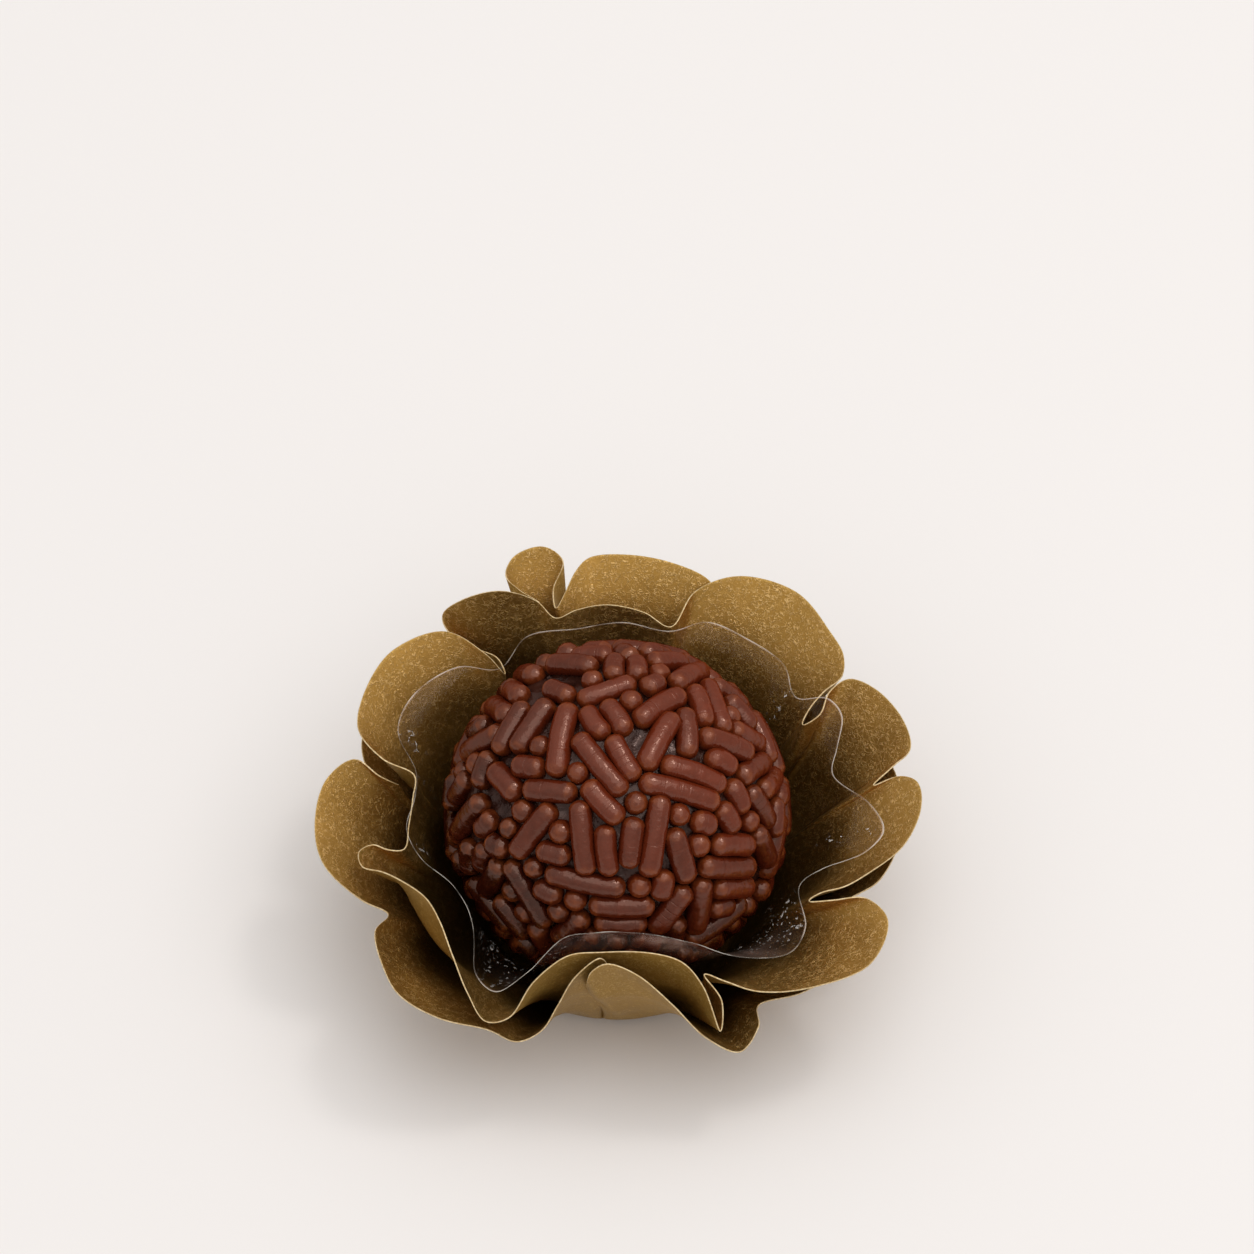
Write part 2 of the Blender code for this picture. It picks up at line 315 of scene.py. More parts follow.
@dataclass(frozen=True)
class CutEdge(Finish):
    """The pale edge where the paper was cut."""

    dark: Colour
    light: Colour
    fibre_size: float = 0.25 * MM
    fibre_depth: float = 0.02 * MM

    def surface(self, graph: Graph) -> TreeNode:
        """Return the edge's shader."""
        place = graph.place()
        fibres = graph.grain(place, self.fibre_size, 3.0)
        colour = graph.blend(self.dark, self.light, graph.span(fibres, 0.3, 0.7))
        relief = graph.bump(0.4, self.fibre_depth, fibres)
        return graph.principled({
            "Base Color": colour, "Roughness": 0.5, "Metallic": 0.25, "Normal": relief})


@dataclass(frozen=True)
class ClearFilm(Finish):
    """Thin clear film: see-through, glossy, with a bright cut rim, a painted reflection and painted
    glints.
    """

    # colour of the painted reflection, and next of the cut rim
    painted_reflection: Colour
    rim: Colour
    pass_colour: Colour = (0.965, 0.955, 0.94)
    mirror_tint: Colour = (1.0, 0.93, 0.88)
    # colour of the painted glints
    painted_glint_colour: Colour = (1.0, 0.99, 0.97)
    rim_haze: float = 0.55
    shine: float = 0.008  # share mirrored face on
    glint: float = 0.018  # share added at a grazing angle
    grazing: float = 4.0
    crinkle_size: float = 2.4 * MM
    crinkle_depth: float = 0.16 * MM
    patch_size: float = 2.6 * MM  # of brighter and duller lengths of the rim
    painted_reflection_size: float = 3.6 * MM
    painted_glint_size: float = 0.42 * MM
    painted_glint_cut: tuple[float, float] = (0.645, 0.68)  # noise where a painted glint begins and is full

    def surface(self, graph: Graph) -> TreeNode:
        """Return the film's shader."""
        place = graph.place()
        crinkles = graph.grain(place, self.crinkle_size, 2.0, 0.8)
        relief = graph.bump(0.8, self.crinkle_depth, crinkles)
        mirror = graph.principled({
            "Base Color": opaque(self.mirror_tint), "Metallic": 1.0, "Roughness": 0.08,
            "Normal": relief})
        clear = graph.add("ShaderNodeBsdfTransparent", {"Color": opaque(self.pass_colour)})
        slant = graph.add("ShaderNodeLayerWeight", {"Blend": 0.5}).outputs["Facing"]
        slope = graph.math("POWER", slant, self.grazing)
        gloss = graph.math("MULTIPLY_ADD", slope, self.glint, self.shine)
        glossy = graph.add("ShaderNodeMixShader", {0: gloss, 1: clear, 2: mirror})
        edge = graph.named("rub")
        patchy = graph.span(graph.grain(place, self.patch_size, 2.0), 0.35, 0.65, 0.15, 1.0)
        rim = graph.times(graph.times(edge, patchy), self.rim_haze)
        # Painted reflection: a warm veil over the marked patches, standing in for the film's soft
        # reflection.
        painted_reflection_patches = graph.span(graph.grain(place, self.painted_reflection_size, 1.0, 0.8), 0.35, 0.60, 0.35, 1.0)
        painted_reflection = graph.times(graph.named("painted_reflection_share"), painted_reflection_patches)
        cloud = graph.principled({
            "Base Color": graph.blend(self.painted_reflection, self.rim, edge), "Roughness": 0.3,
            "Specular IOR Level": 0.5})
        hazed = graph.add("ShaderNodeMixShader", {
            0: graph.math("ADD", painted_reflection, rim, clamp=True), 1: glossy, 2: cloud})
        # Painted glints: small white patches on the marked creases, standing in for the lamp's
        # reflection.
        lumps = graph.grain(place, self.painted_glint_size, 2.0, 0.8)
        bright = graph.principled({
            "Base Color": opaque(self.painted_glint_colour), "Roughness": 0.2,
            "Specular IOR Level": 0.8, "Normal": relief})
        share = graph.times(graph.span(lumps, *self.painted_glint_cut), graph.named("painted_glint_share"), clamp=True)
        return graph.add("ShaderNodeMixShader", {0: share, 1: hazed, 2: bright})


@dataclass(frozen=True)
class Chocolate(Finish):
    """A sprinkle's satin chocolate, warmer at its ends, with faint cracks across it."""

    dark: Colour
    light: Colour
    tip: Colour
    sheen: Colour = (1.0, 0.66, 0.54)
    sheen_share: float = 0.062
    gloss: tuple[float, float] = (0.10, 0.24)  # the sheen's lowest and highest roughness
    mottle_size: float = 0.8 * MM
    mottle_depth: float = 0.12 * MM
    pore_size: float = 0.22 * MM
    pore_share: float = 0.35  # of a crack's depth
    crack_depth: float = 0.045 * MM
    crack_cut: tuple[float, float] = (0.60, 0.68)  # noise where a crack begins and is full
    crack_pace: float = 5.0  # noise lengths from a rod's middle to its end
    rods_apart: float = 40.0  # noise lengths from the darkest rod to the lightest

    def surface(self, graph: Graph) -> TreeNode:
        """Return the sprinkle's shader."""
        place = graph.place()
        along = graph.named("along")
        tone = graph.named("tone")
        mottle = graph.grain(place, self.mottle_size, 3.0)
        fine = graph.grain(place, self.pore_size, 2.0)
        # The tone attribute carries painted light as well as random rod-to-rod tone: rods higher
        # and further right on the ball are lighter.
        share = graph.math("MULTIPLY_ADD", mottle, 0.5, -0.25)
        share = graph.math("ADD", tone, share, clamp=True)
        body = graph.blend(self.dark, self.light, share)
        ends = graph.math("ABSOLUTE", along)
        warm = graph.times(graph.span(ends, 0.90, 1.05), graph.span(mottle, 0.35, 0.7, 0.1, 0.8))
        colour = graph.blend(body, self.tip, warm)
        spot = graph.add("ShaderNodeCombineXYZ", {
            0: graph.times(along, self.crack_pace), 1: graph.times(tone, self.rods_apart)})
        cracks = graph.span(graph.grain(spot, 1.0, 2.0), *self.crack_cut)
        rough = graph.span(mottle, 0.3, 0.7, *self.gloss)
        lumps = graph.bump(0.9, self.mottle_depth, mottle)
        height = graph.math("SUBTRACT", graph.times(fine, self.pore_share), cracks)
        relief = graph.bump(0.6, self.crack_depth, height, lumps)
        return wet(graph, colour, self.sheen, self.sheen_share, rough, relief)


@dataclass(frozen=True)
class Fudge(Finish):
    """Sticky cooked fudge with a wet gloss."""

    dark: Colour
    light: Colour
    sheen: Colour = (1.0, 0.74, 0.67)
    sheen_share: float = 0.040
    gloss: tuple[float, float] = (0.08, 0.20)
    mottle_size: float = 1.1 * MM
    grain_size: float = 0.35 * MM
    grain_depth: float = 0.07 * MM

    def surface(self, graph: Graph) -> TreeNode:
        """Return the fudge's shader."""
        place = graph.place()
        mottle = graph.grain(place, self.mottle_size, 3.0)
        fine = graph.grain(place, self.grain_size, 3.0, 0.6)
        colour = graph.blend(self.dark, self.light, graph.span(mottle, 0.3, 0.7))
        relief = graph.bump(0.8, self.grain_depth, fine)
        rough = graph.span(fine, 0.3, 0.7, *self.gloss)
        return wet(graph, colour, self.sheen, self.sheen_share, rough, relief)


@dataclass(frozen=True)
class TableTop(Finish):
    """A plain pale tabletop."""

    colour: Colour

    def surface(self, graph: Graph) -> TreeNode:
        """Return the table's shader."""
        return graph.principled({
            "Base Color": opaque(self.colour), "Roughness": 0.55, "Specular IOR Level": 0.3})


# ---- thin sheets


@dataclass(frozen=True)
class Stop:
    """A place that the rim passes: degrees round, millimetres out and up."""

    azimuth: float
    reach: float
    height: float
    belly: float = 0.0  # millimetres that the wall below bulges at half height

    def place(self) -> Vector:
        """Return the stop's place in metres."""
        turn = math.radians(self.azimuth)
        return Vector((self.reach * math.cos(turn), self.reach * math.sin(turn), self.height)) * MM


@dataclass(frozen=True)
class Petal:
    """One petal's rim, counterclockwise, and its closing pinch, as rows of a Stop's fields."""

    rim: tuple[tuple[float, ...], ...]
    pinch: tuple[float, ...]
    foot: float | None = None  # azimuth where the pinch's crease meets the floor
    flare: float | None = None  # power of the outward swing, the sheet's own by default

    def stops(self) -> list[Stop]:
        """Return the rim's stops and then the pinch's."""
        return [Stop(*row) for row in (*self.rim, self.pinch)]

    def foot_azimuth(self) -> float:
        """Return the crease's foot, which is right below the pinch by default."""
        return self.pinch[0] if self.foot is None else self.foot


@dataclass
class Bowl:
    """The rounded section that the nested sheets share."""

    floor_radius: float = 9.8 * MM
    wall_radius: float = 15.45 * MM
    wall_height: float = 12.5 * MM
    roundness: float = 0.7
    nest_step: float = 0.5 * MM
    smallest_foot: float = 2.0  # degrees of floor between two stops
    closest: float = 1e-6 * MM

    def radius(self, height: Any, layer: int) -> Any:
        """Return the wall's radius at a height above the sheet's own floor.

        Args:
            height: Height or an array of heights.
            layer: 0 for the liner, counted outwards.

        Returns:
            The radius, in the same form as height.
        """
        rise = np.clip(np.asarray(height) / self.wall_height, 0.0, 1.0) ** self.roundness
        radius = self.floor_radius + (self.wall_radius - self.floor_radius) * rise
        return radius + self.nest_step * layer

    def feet(self, start: Stop, first: float, petal: Petal) -> list[float]:
        """Give each stop its foot on the floor, half by its spacing and half by its azimuth.

        Args:
            start: The pinch before the petal.
            first: That pinch's foot in degrees.
            petal: The petal.

        Returns:
            The feet of the petal's stops and of its pinch, in degrees.
        """
        run = [start, *petal.stops()]
        lengths = [0.0]
        for before, after in zip(run, run[1:]):
            lengths.append(lengths[-1] + (after.place() - before.place()).length)
        last = petal.foot_azimuth()
        room = min(self.smallest_foot, (last - first) / (len(run) - 1))
        feet = [first]
        for stop, length in zip(run[1:], lengths[1:]):
            by_spacing = first + (last - first) * length / lengths[-1]
            by_azimuth = min(last, max(first, stop.azimuth))
            feet.append(max(feet[-1] + room, (by_spacing + by_azimuth) / 2))
        feet[-1] = last
        for i in range(len(feet) - 2, 0, -1):
            feet[i] = min(feet[i], feet[i + 1] - room)
        return feet[1:]

    def controls(self, petals: Sequence[Petal],
                 flare: float) -> list[tuple[Vector, float, float, float]]:
        """Return every stop's place, foot azimuth, belly and flare, in order round the rim."""
        found = []
        start = petals[-1].stops()[-1]
        first = petals[-1].foot_azimuth() - 360
        for petal in petals:
            stops = petal.stops()
            for stop, foot in zip(stops, self.feet(start, first, petal)):
                found.append((stop.place(), foot, stop.belly * MM, petal.flare or flare))
            start = stops[-1]
            first = petal.foot_azimuth()
        return found

    def curve_point(self, run: Sequence[Vector], share: float) -> Vector:
        """Return a point of a centripetal Catmull-Rom curve between the middle two places."""
        p0, p1, p2, p3 = run
        k01 = max((p1 - p0).length, self.closest) ** 0.5
        k12 = max((p2 - p1).length, self.closest) ** 0.5
        k23 = max((p3 - p2).length, self.closest) ** 0.5
        tangent1 = ((p1 - p0) / k01 - (p2 - p0) / (k01 + k12) + (p2 - p1) / k12) * k12
        tangent2 = ((p2 - p1) / k12 - (p3 - p1) / (k12 + k23) + (p3 - p2) / k23) * k12
        s2 = share * share
        s3 = s2 * share
        return (p1 * (2 * s3 - 3 * s2 + 1) + tangent1 * (s3 - 2 * s2 + share)
                + p2 * (3 * s2 - 2 * s3) + tangent2 * (s3 - s2))


def unit(ways: np.ndarray) -> np.ndarray:
    """Return directions of length one, along the last axis."""
    return ways / np.maximum(np.linalg.norm(ways, axis=-1, keepdims=True), 1e-12)


def soften(values: np.ndarray, reach: int) -> np.ndarray:
    """Return values averaged round a closed ring with a bell-shaped weight.

    Args:
        values: One number for each sample of the ring.
        reach: How many samples the bell's shoulder spans.

    Returns:
        The softened numbers.
    """
    offsets = np.arange(-3 * reach, 3 * reach + 1)
    weights = np.exp(-0.5 * (offsets / max(reach, 1)) ** 2)
    weights /= weights.sum()
    return sum(weight * np.roll(values, -offset, axis=0)
               for weight, offset in zip(weights, offsets))


@dataclass(frozen=True)
class Mark:
    """A spot on a sheet's wall that carries a painted glint or a painted reflection."""

    azimuth: float
    share: float  # of the wall's height
    wide: float  # degrees
    tall: float  # share of the wall's height
    strength: float = 1.0

    def cover(self, azimuths: np.ndarray, shares: np.ndarray) -> np.ndarray:
        """Return how much of the mark each place carries."""
        aside = ((azimuths - self.azimuth + 180.0) % 360.0 - 180.0) / self.wide
        above = (shares - self.share) / self.tall
        return self.strength * np.exp(-aside ** 2 - above ** 2)


@dataclass
class Sheet:
    """A thin sheet that rises from a round floor to a ruffled rim."""

    node: Node
    slot: Slot
    layer: int
    floor: float
    thickness: float
    flare: float
    petals: tuple[Petal, ...]
    finishes: tuple[Finish, Finish, Finish]
    bowl: Bowl
    step: float = 0.34 * MM
    rows: int = 26
    floor_rings: int = 5
    ripple: float = 0.05 * MM
    ripple_size: float = 3.5 * MM
    rub_width: float = 0.20 * MM
    rim_shares: tuple[float, ...] = (0.984, 0.992)
    row_power: float = 1.15  # crowds the rows towards the rim
    softening: int = 3  # samples that a change of belly or flare spans
    crest: float = 0.6  # height of the cut edge's crest, in half thicknesses
    # where the film gets painted glints and a painted reflection
    painted_glint_marks: tuple[Mark, ...] = ()
    painted_reflection_patches: tuple[Mark, ...] = ()

    def samples(self) -> tuple[np.ndarray, np.ndarray, np.ndarray, np.ndarray]:
        """Return the rim's finely spaced places, foot angles in radians, bellies and flares."""
        controls = self.bowl.controls(self.petals, self.flare)
        count = len(controls)
        places, feet, bellies, flares = [], [], [], []
        for index, (here, foot, belly, flare) in enumerate(controls):
            before = controls[index - 1][0]
            after, next_foot, next_belly, next_flare = controls[(index + 1) % count]
            beyond = controls[(index + 2) % count][0]
            gain = (next_foot - foot) % 360
            cuts = max(3, round((after - here).length / self.step))
            for cut in range(cuts):
                share = cut / cuts
                places.append(self.bowl.curve_point((before, here, after, beyond), share))
                feet.append(foot + gain * share)
                bellies.append(belly + (next_belly - belly) * share)
                flares.append(flare + (next_flare - flare) * share)
        return (np.array(places), self.soft_feet(np.radians(feet)),
                soften(np.array(bellies), self.softening), soften(np.array(flares), self.softening))

    def soft_feet(self, feet: np.ndarray) -> np.ndarray:
        """Return the foot angles with their sudden changes of pace softened."""
        run = np.unwrap(feet)
        drift = run - np.arange(len(run)) * (2 * math.pi / len(run))
        return soften(drift, 2) + np.arange(len(run)) * (2 * math.pi / len(run))

    def shares(self) -> np.ndarray:
        """Return the rows' shares of the wall's height, closest together at the rim."""
        even = np.linspace(0.0, 1.0, self.rows)
        return np.concatenate([1 - (1 - even[:-1]) ** self.row_power, self.rim_shares, [1.0]])

    def wall(self) -> np.ndarray:
        """Return the sheet's middle as rows of places, from its floor up to its rim."""
        rims, feet, bellies, flares = self.samples()
        outward = np.stack([np.cos(feet), np.sin(feet)], axis=1)
        heights = rims[:, 2] - self.floor
        tops = outward * self.bowl.radius(heights, self.layer)[:, None]
        swing = rims[:, :2] - tops
        grid = []
        for share in self.shares():
            bulge = bellies * math.sin(math.pi * share)
            radius = self.bowl.radius(heights * share, self.layer) + bulge
            flat = outward * radius[:, None] + swing * (share ** flares)[:, None]
            grid.append(np.column_stack([flat, self.floor + heights * share]))
        return np.array(grid)

    def normals(self, grid: np.ndarray) -> np.ndarray:
        """Return the outward direction at each place of the wall."""
        around = np.roll(grid, -1, axis=1) - np.roll(grid, 1, axis=1)
        rise = np.gradient(grid, axis=0)
        return unit(np.cross(around, rise))

    def crumple(self, grid: np.ndarray) -> np.ndarray:
        """Return the wall with the slight unevenness of handled stock."""
        facing = self.normals(grid)
        moved = grid.copy()
        for row in range(1, len(grid)):
            for i in range(grid.shape[1]):
                lift = noise.noise(Vector(grid[row, i]) / self.ripple_size) * self.ripple
                moved[row, i] += facing[row, i] * lift
        return moved

    def rub(self, grid: np.ndarray) -> np.ndarray:
        """Return how worn each place of the wall is, from 0 to 1 at the rim."""
        below = np.linalg.norm(grid - grid[-1:], axis=2)
        return np.clip(1.0 - below / self.rub_width, 0.0, 1.0)

    def marked(self, grid: np.ndarray, marks: Sequence[Mark]) -> np.ndarray:
        """Return how strongly each place of the wall is marked."""
        azimuths = np.degrees(np.arctan2(grid[:, :, 1], grid[:, :, 0]))
        shares = np.broadcast_to(self.shares()[:, None], azimuths.shape)
        return sum((mark.cover(azimuths, shares) for mark in marks), np.zeros(azimuths.shape))

    def rings(self, base: np.ndarray) -> np.ndarray:
        """Return the floor's inner rings, from the wall's foot inwards."""
        shares = [1 - (ring + 1) / (self.floor_rings + 1) for ring in range(self.floor_rings)]
        return np.array([np.column_stack([base[:, :2] * share, base[:, 2]]) for share in shares])

    def build(self) -> Object:
        """Return the finished sheet as a closed shell with its three finishes."""
        grid = self.crumple(self.wall())
        facing = self.normals(grid)
        facing[0] = unit(facing[0] + np.array([0.0, 0.0, -1.0]))
        inner_rings = self.rings(grid[0])
        full = np.concatenate([inner_rings[::-1], grid])
        down = np.zeros_like(inner_rings)
        down[:, :, 2] = -1.0
        directions = np.concatenate([down, facing])
        plain = np.zeros(inner_rings.shape[:2])
        layers = {"rub": self.rub(grid), "painted_glint_share": self.marked(grid, self.painted_glint_marks),
                  "painted_reflection_share": self.marked(grid, self.painted_reflection_patches)}
        layers = {name: np.concatenate([plain, found]) for name, found in layers.items()}
        deep = np.broadcast_to(1.0 - self.shares()[:, None], grid.shape[:2])
        layers["deep"] = np.concatenate([plain + 1.0, deep])
        half = self.thickness / 2
        outer = full + directions * half
        inner = full - directions * half
        lip = (outer[-1] + inner[-1]) / 2 + unit(full[-1] - full[-2]) * half * self.crest
        return self.shell(outer, inner, lip, layers)

    def shell(self, outer: np.ndarray, inner: np.ndarray, lip: np.ndarray,
              layers: dict[str, np.ndarray]) -> Object:
        """Join the outer and inner walls round the rim and close both floors.

        Args:
            outer: Rows of places on the outer side, from the floor's middle out and up.
            inner: The same rows on the inner side.
            lip: The ring along the cut edge's crest.
            layers: Each place's share of wear, painted glint, painted reflection and depth, by
                name.

        Returns:
            The sheet's object.
        """
        levels, count = outer.shape[:2]
        poles = np.array([[0, 0, outer[0, 0, 2]], [0, 0, inner[0, 0, 2]]])
        places = np.concatenate([outer.reshape(-1, 3), inner.reshape(-1, 3), lip, poles])
        inner_start = levels * count
        lip_start = 2 * inner_start
        pole = lip_start + count
        column = np.arange(count)
        beside = (column + 1) % count
        faces: list[tuple[int, ...]] = []
        kinds: list[int] = []
        for level in range(levels - 1):
            low, high = level * count, (level + 1) * count
            faces += zip(low + column, low + beside, high + beside, high + column)
            kinds += [Face.OUTSIDE] * count
            low, high = low + inner_start, high + inner_start
            faces += zip(high + column, high + beside, low + beside, low + column)
            kinds += [Face.INSIDE] * count
        top = (levels - 1) * count
        faces += zip(top + column, top + beside, lip_start + beside, lip_start + column)
        top += inner_start
        faces += zip(lip_start + column, lip_start + beside, top + beside, top + column)
        kinds += [Face.EDGE] * (2 * count)
        faces += zip(beside, column, [pole] * count)
        kinds += [Face.OUTSIDE] * count
        faces += zip(inner_start + column, inner_start + beside, [pole + 1] * count)
        kinds += [Face.INSIDE] * count
        mesh = bpy.data.meshes.new(self.node.value + "_looks")
        mesh.from_pydata(places.tolist(), [], [tuple(map(int, face)) for face in faces])
        mesh.polygons.foreach_set("material_index", kinds)
        for name, found in layers.items():
            values = np.concatenate([found.ravel(), found.ravel(), found[-1], np.zeros(2)])
            layer = mesh.attributes.new(name, "FLOAT", "POINT")
            layer.data.foreach_set("value", values.astype(np.float32))
        mesh.shade_smooth()
        self.sharpen(mesh)
        piece = show(self.node.value + "_sheet", mesh)
        for finish in self.finishes:
            mesh.materials.append(finish.build())
        return piece

    def sharpen(self, mesh: Mesh) -> None:
        """Mark the edges where the finish changes as sharp."""
        kinds: dict[tuple[int, int], int] = {}
        sharp = set()
        for face in mesh.polygons:
            for key in face.edge_keys:
                if kinds.setdefault(key, face.material_index) != face.material_index:
                    sharp.add(key)
        for edge in mesh.edges:
            if edge.key in sharp:
                edge.use_edge_sharp = True


INNER_PETALS = (
    # front tip
    Petal(((-79, 17.1, 18.1), (-71.5, 18.2, 17.3), (-68, 19.9, 15.5), (-66.4, 22.3, 11.8),
           (-64, 20.6, 13.6)), (-65.8, 18.4, 15.0), -63.0),
    # front right
    Petal(((-61.5, 19.6, 14.6), (-55, 21.4, 13.5), (-44.6, 23.9, 13.2), (-34, 26.3, 13.7),
           (-24.5, 25.6, 14.4), (-22.0, 23.2, 14.8), (-25.5, 20.6, 14.8)), (-28.0, 18.8, 14.6),
           -26.0, 3.2),
    # right low
    Petal(((-23.0, 19.2, 14.0), (-18.0, 20.9, 13.6), (-13.3, 22.5, 13.8), (-7.5, 24.9, 14.9),
           (0.5, 26.3, 15.6), (6.8, 26.2, 15.6), (9.8, 24.8, 14.9)), (9.6, 22.6, 14.2), flare=2.6),
    # right high
    Petal(((12.6, 24.6, 14.8), (14.3, 26.3, 15.7), (20, 26.5, 16.5), (27.5, 25.4, 17.4),
           (32.3, 23.9, 17.5), (32.4, 22.0, 17.0), (28.8, 20.2, 16.5)), (28.9, 18.5, 16.0)),
    # back right
    Petal(((32.2, 19.8, 16.0), (34.2, 21.9, 16.4), (34.4, 23.8, 17.0), (37.2, 24.8, 18.0),
           (42.5, 25.3, 18.5), (53.4, 26.3, 19.0), (65, 25.2, 19.0), (72.3, 22.7, 18.4)),
           (75.3, 18.7, 18.0), flare=2.5),
    # back low
    Petal(((82.6, 19.2, 18.8), (92.1, 19.5, 19.3), (100.2, 19.6, 18.8)), (105.6, 19.6, 18.2),
           flare=1.4),
    # back left
    Petal(((109.3, 21.0, 19.4), (117, 22.3, 20.8), (124.9, 23.8, 19.8), (128.2, 24.5, 18.0),
           (128.6, 23.1, 16.9), (125.2, 21.3, 15.8), (122.0, 19.6, 15.5)), (123.2, 17.7, 15.5),
           125.5, 1.3),
    # left high
    Petal(((125.9, 19.3, 17.3), (130.8, 22.8, 18.4), (142, 24.7, 18.3), (153, 24.5, 17.7),
           (161.5, 23.5, 17.3), (165.8, 20.9, 16.3)), (168.3, 17.8, 15.9), flare=2.6),
    # left curl
    Petal(((175, 17.6, 15.4), (184, 17.9, 15.2), (191.5, 18.6, 15.1), (191.3, 20.0, 15.3),
           (189.3, 21.2, 15.4), (190.6, 22.5, 15.3), (194.2, 22.5, 15.1), (197.5, 21.1, 15.5)),
           (202.5, 20.0, 16.0, 1.7), flare=2.4),
    # front left curl
    Petal(((211.5, 19.0, 16.5, 2.5), (219, 19.4, 16.5, 2.3), (228, 20.7, 15.5, 1.3),
           (235, 22.0, 13.9), (240.5, 22.6, 12.2), (245, 21.7, 12.7), (249, 19.4, 15.8),
           (256, 17.4, 17.8)), (265.2, 16.65, 18.0), flare=2.0),
)

OUTER_PETALS = (
    # front flap
    Petal(((-96.4, 13.7, 6.4), (-98.0, 16.7, 12.2), (-97.7, 18.2, 15.9), (-96.4, 18.1, 17.2),
           (-92.5, 17.8, 18.0), (-84, 18.2, 16.7), (-76, 20.0, 14.2), (-69, 22.0, 10.7),
           (-63.2, 23.6, 9.6), (-58, 23.0, 11.0)), (-54.0, 20.8, 10.5)),
    # under front right
    Petal(((-44, 22.2, 10.3), (-33, 23.6, 11.0), (-24, 23.0, 11.5)), (-20.5, 20.2, 11.0),
           flare=2.4),
    # under right
    Petal(((-12, 23.2, 12.0), (1, 24.8, 12.8), (14, 24.9, 13.2), (27, 23.6, 13.8)),
           (32.5, 23.2, 13.8)),
    # under back right
    Petal(((38, 22.8, 13.8), (47, 24.4, 14.7), (58, 24.9, 15.3)), (66.5, 23.8, 15.9), flare=2.2),
    # back
    Petal(((71, 24.9, 17.5), (79, 25.4, 18.2), (88, 25.6, 18.5), (95.3, 25.5, 18.3),
           (98.3, 24.5, 17.9), (101.2, 22.9, 17.2)), (103.9, 21.8, 16.6), 98.5, 2.4),
    # back curl
    Petal(((103.4, 23.7, 16.9), (100.4, 25.9, 17.8), (103.5, 27.3, 18.4), (109.2, 27.2, 18.1),
           (111.9, 25.9, 17.5), (110.2, 24.4, 16.9)), (107.1, 22.8, 16.4), 113.0),
    # under back left
    Petal(((113, 23.1, 16.1), (119.5, 24.3, 14.7), (126, 23.8, 14.2)), (131.5, 21.9, 12.8)),
    # under left
    Petal(((139, 23.6, 13.2), (149, 24.3, 13.6), (157.5, 23.9, 13.6), (164.3, 22.3, 13.4)),
           (168.6, 19.2, 14.2), flare=2.4),
    # left
    Petal(((169.4, 20.8, 15.5), (167.8, 23.1, 16.5), (173, 25.2, 16.0), (184.5, 26.0, 15.5),
           (192, 25.6, 14.9), (199, 23.2, 13.0, 0.8)), (203.6, 21.4, 12.4, 1.0), flare=2.6),
    # front left
    Petal(((209, 23.6, 13.8, 1.0), (217, 25.0, 14.0, 1.0), (224, 25.7, 13.5, 0.2),
           (232, 24.7, 12.4, -0.4)), (241, 22.7, 11.2), flare=1.9),
    # front scoop
    Petal(((247, 21.6, 9.4), (251.5, 20.3, 10.0), (255, 19.2, 12.8), (259, 18.1, 16.0),
           (265.4, 17.2, 17.9), (268.5, 16.8, 15.5), (267.5, 14.6, 9.0)), (264.2, 11.2, 2.4),
           264.2),
)

FILM_PETALS = (
    # front right
    Petal(((-84, 15.9, 19.8), (-68, 17.2, 18.5), (-58, 19.4, 17.2), (-46, 21.2, 15.9),
           (-37, 20.3, 15.6)), (-28.8, 17.9, 16.5)),
    # right
    Petal(((-21, 19.1, 16.6), (-13.5, 22.0, 16.6), (-6.5, 23.2, 16.5), (0.5, 21.9, 16.4)),
           (9.0, 19.0, 16.8)),
    # back right
    Petal(((16, 19.9, 17.4), (23.5, 21.3, 18.1), (29, 20.9, 18.3)), (33.5, 18.8, 18.0)),
    # back
    Petal(((44, 20.2, 18.0), (56, 20.3, 18.0), (67, 20.3, 17.9)), (75.0, 17.9, 18.4)),
    # back left
    Petal(((87.9, 18.2, 18.5), (100.6, 17.9, 18.4), (114.9, 18.5, 18.3)), (125.2, 17.5, 17.0)),
    # left
    Petal(((134, 19.8, 17.3), (147, 20.9, 17.2), (158, 20.4, 16.9)), (169.2, 17.5, 16.5)),
    # front left
    Petal(((177, 17.4, 16.3), (188, 18.2, 16.3), (200, 17.6, 16.6)), (213, 16.6, 17.2)),
    # front left dip
    Petal(((226, 17.6, 16.7), (234.5, 20.6, 14.9), (240.5, 20.9, 14.4), (247, 18.9, 16.4),
           (255, 16.4, 19.2)), (265, 15.9, 19.9)),
)

# Painted glints on the film's creases, one Mark a row: azimuth, share, wide, tall, strength.
FILM_PAINTED_GLINTS = tuple(Mark(*row) for row in (
    (239, 0.80, 5.0, 0.12, 1.0), (250, 0.93, 4.5, 0.05, 1.0), (228, 0.75, 3.0, 0.12, 0.8),
    (-37, 0.90, 6.0, 0.07, 1.0), (-48, 0.80, 4.0, 0.10, 0.8), (-30, 0.72, 3.0, 0.10, 0.6),
    (-6.5, 0.93, 1.2, 0.08, 0.9), (37, 0.92, 1.2, 0.10, 0.9), (158, 0.95, 2.0, 0.04, 0.5),
    (170, 0.85, 1.2, 0.12, 0.5), (192, 0.92, 2.0, 0.06, 0.6), (219.5, 0.95, 2.0, 0.05, 0.7),
))

# Painted reflection on the film's front, as Marks.
FILM_PAINTED_REFLECTIONS = (
    Mark(286, 0.94, 5.0, 0.05, 0.40), Mark(262, 0.93, 14.0, 0.10, 0.08),
    Mark(300, 0.93, 14.0, 0.10, 0.09),
)


# ---- the sweet


@dataclass(frozen=True)
class Rod:
    """One placed sprinkle, as the ball's front is seen: shares of its radius and degrees."""

    across: float
    up: float
    heading: float | None = None  # none if it is pressed in end on
    length: float = 3.0  # millimetres

    def stands(self) -> bool:
        """Return whether the rod is pressed in end on."""
        return self.heading is None


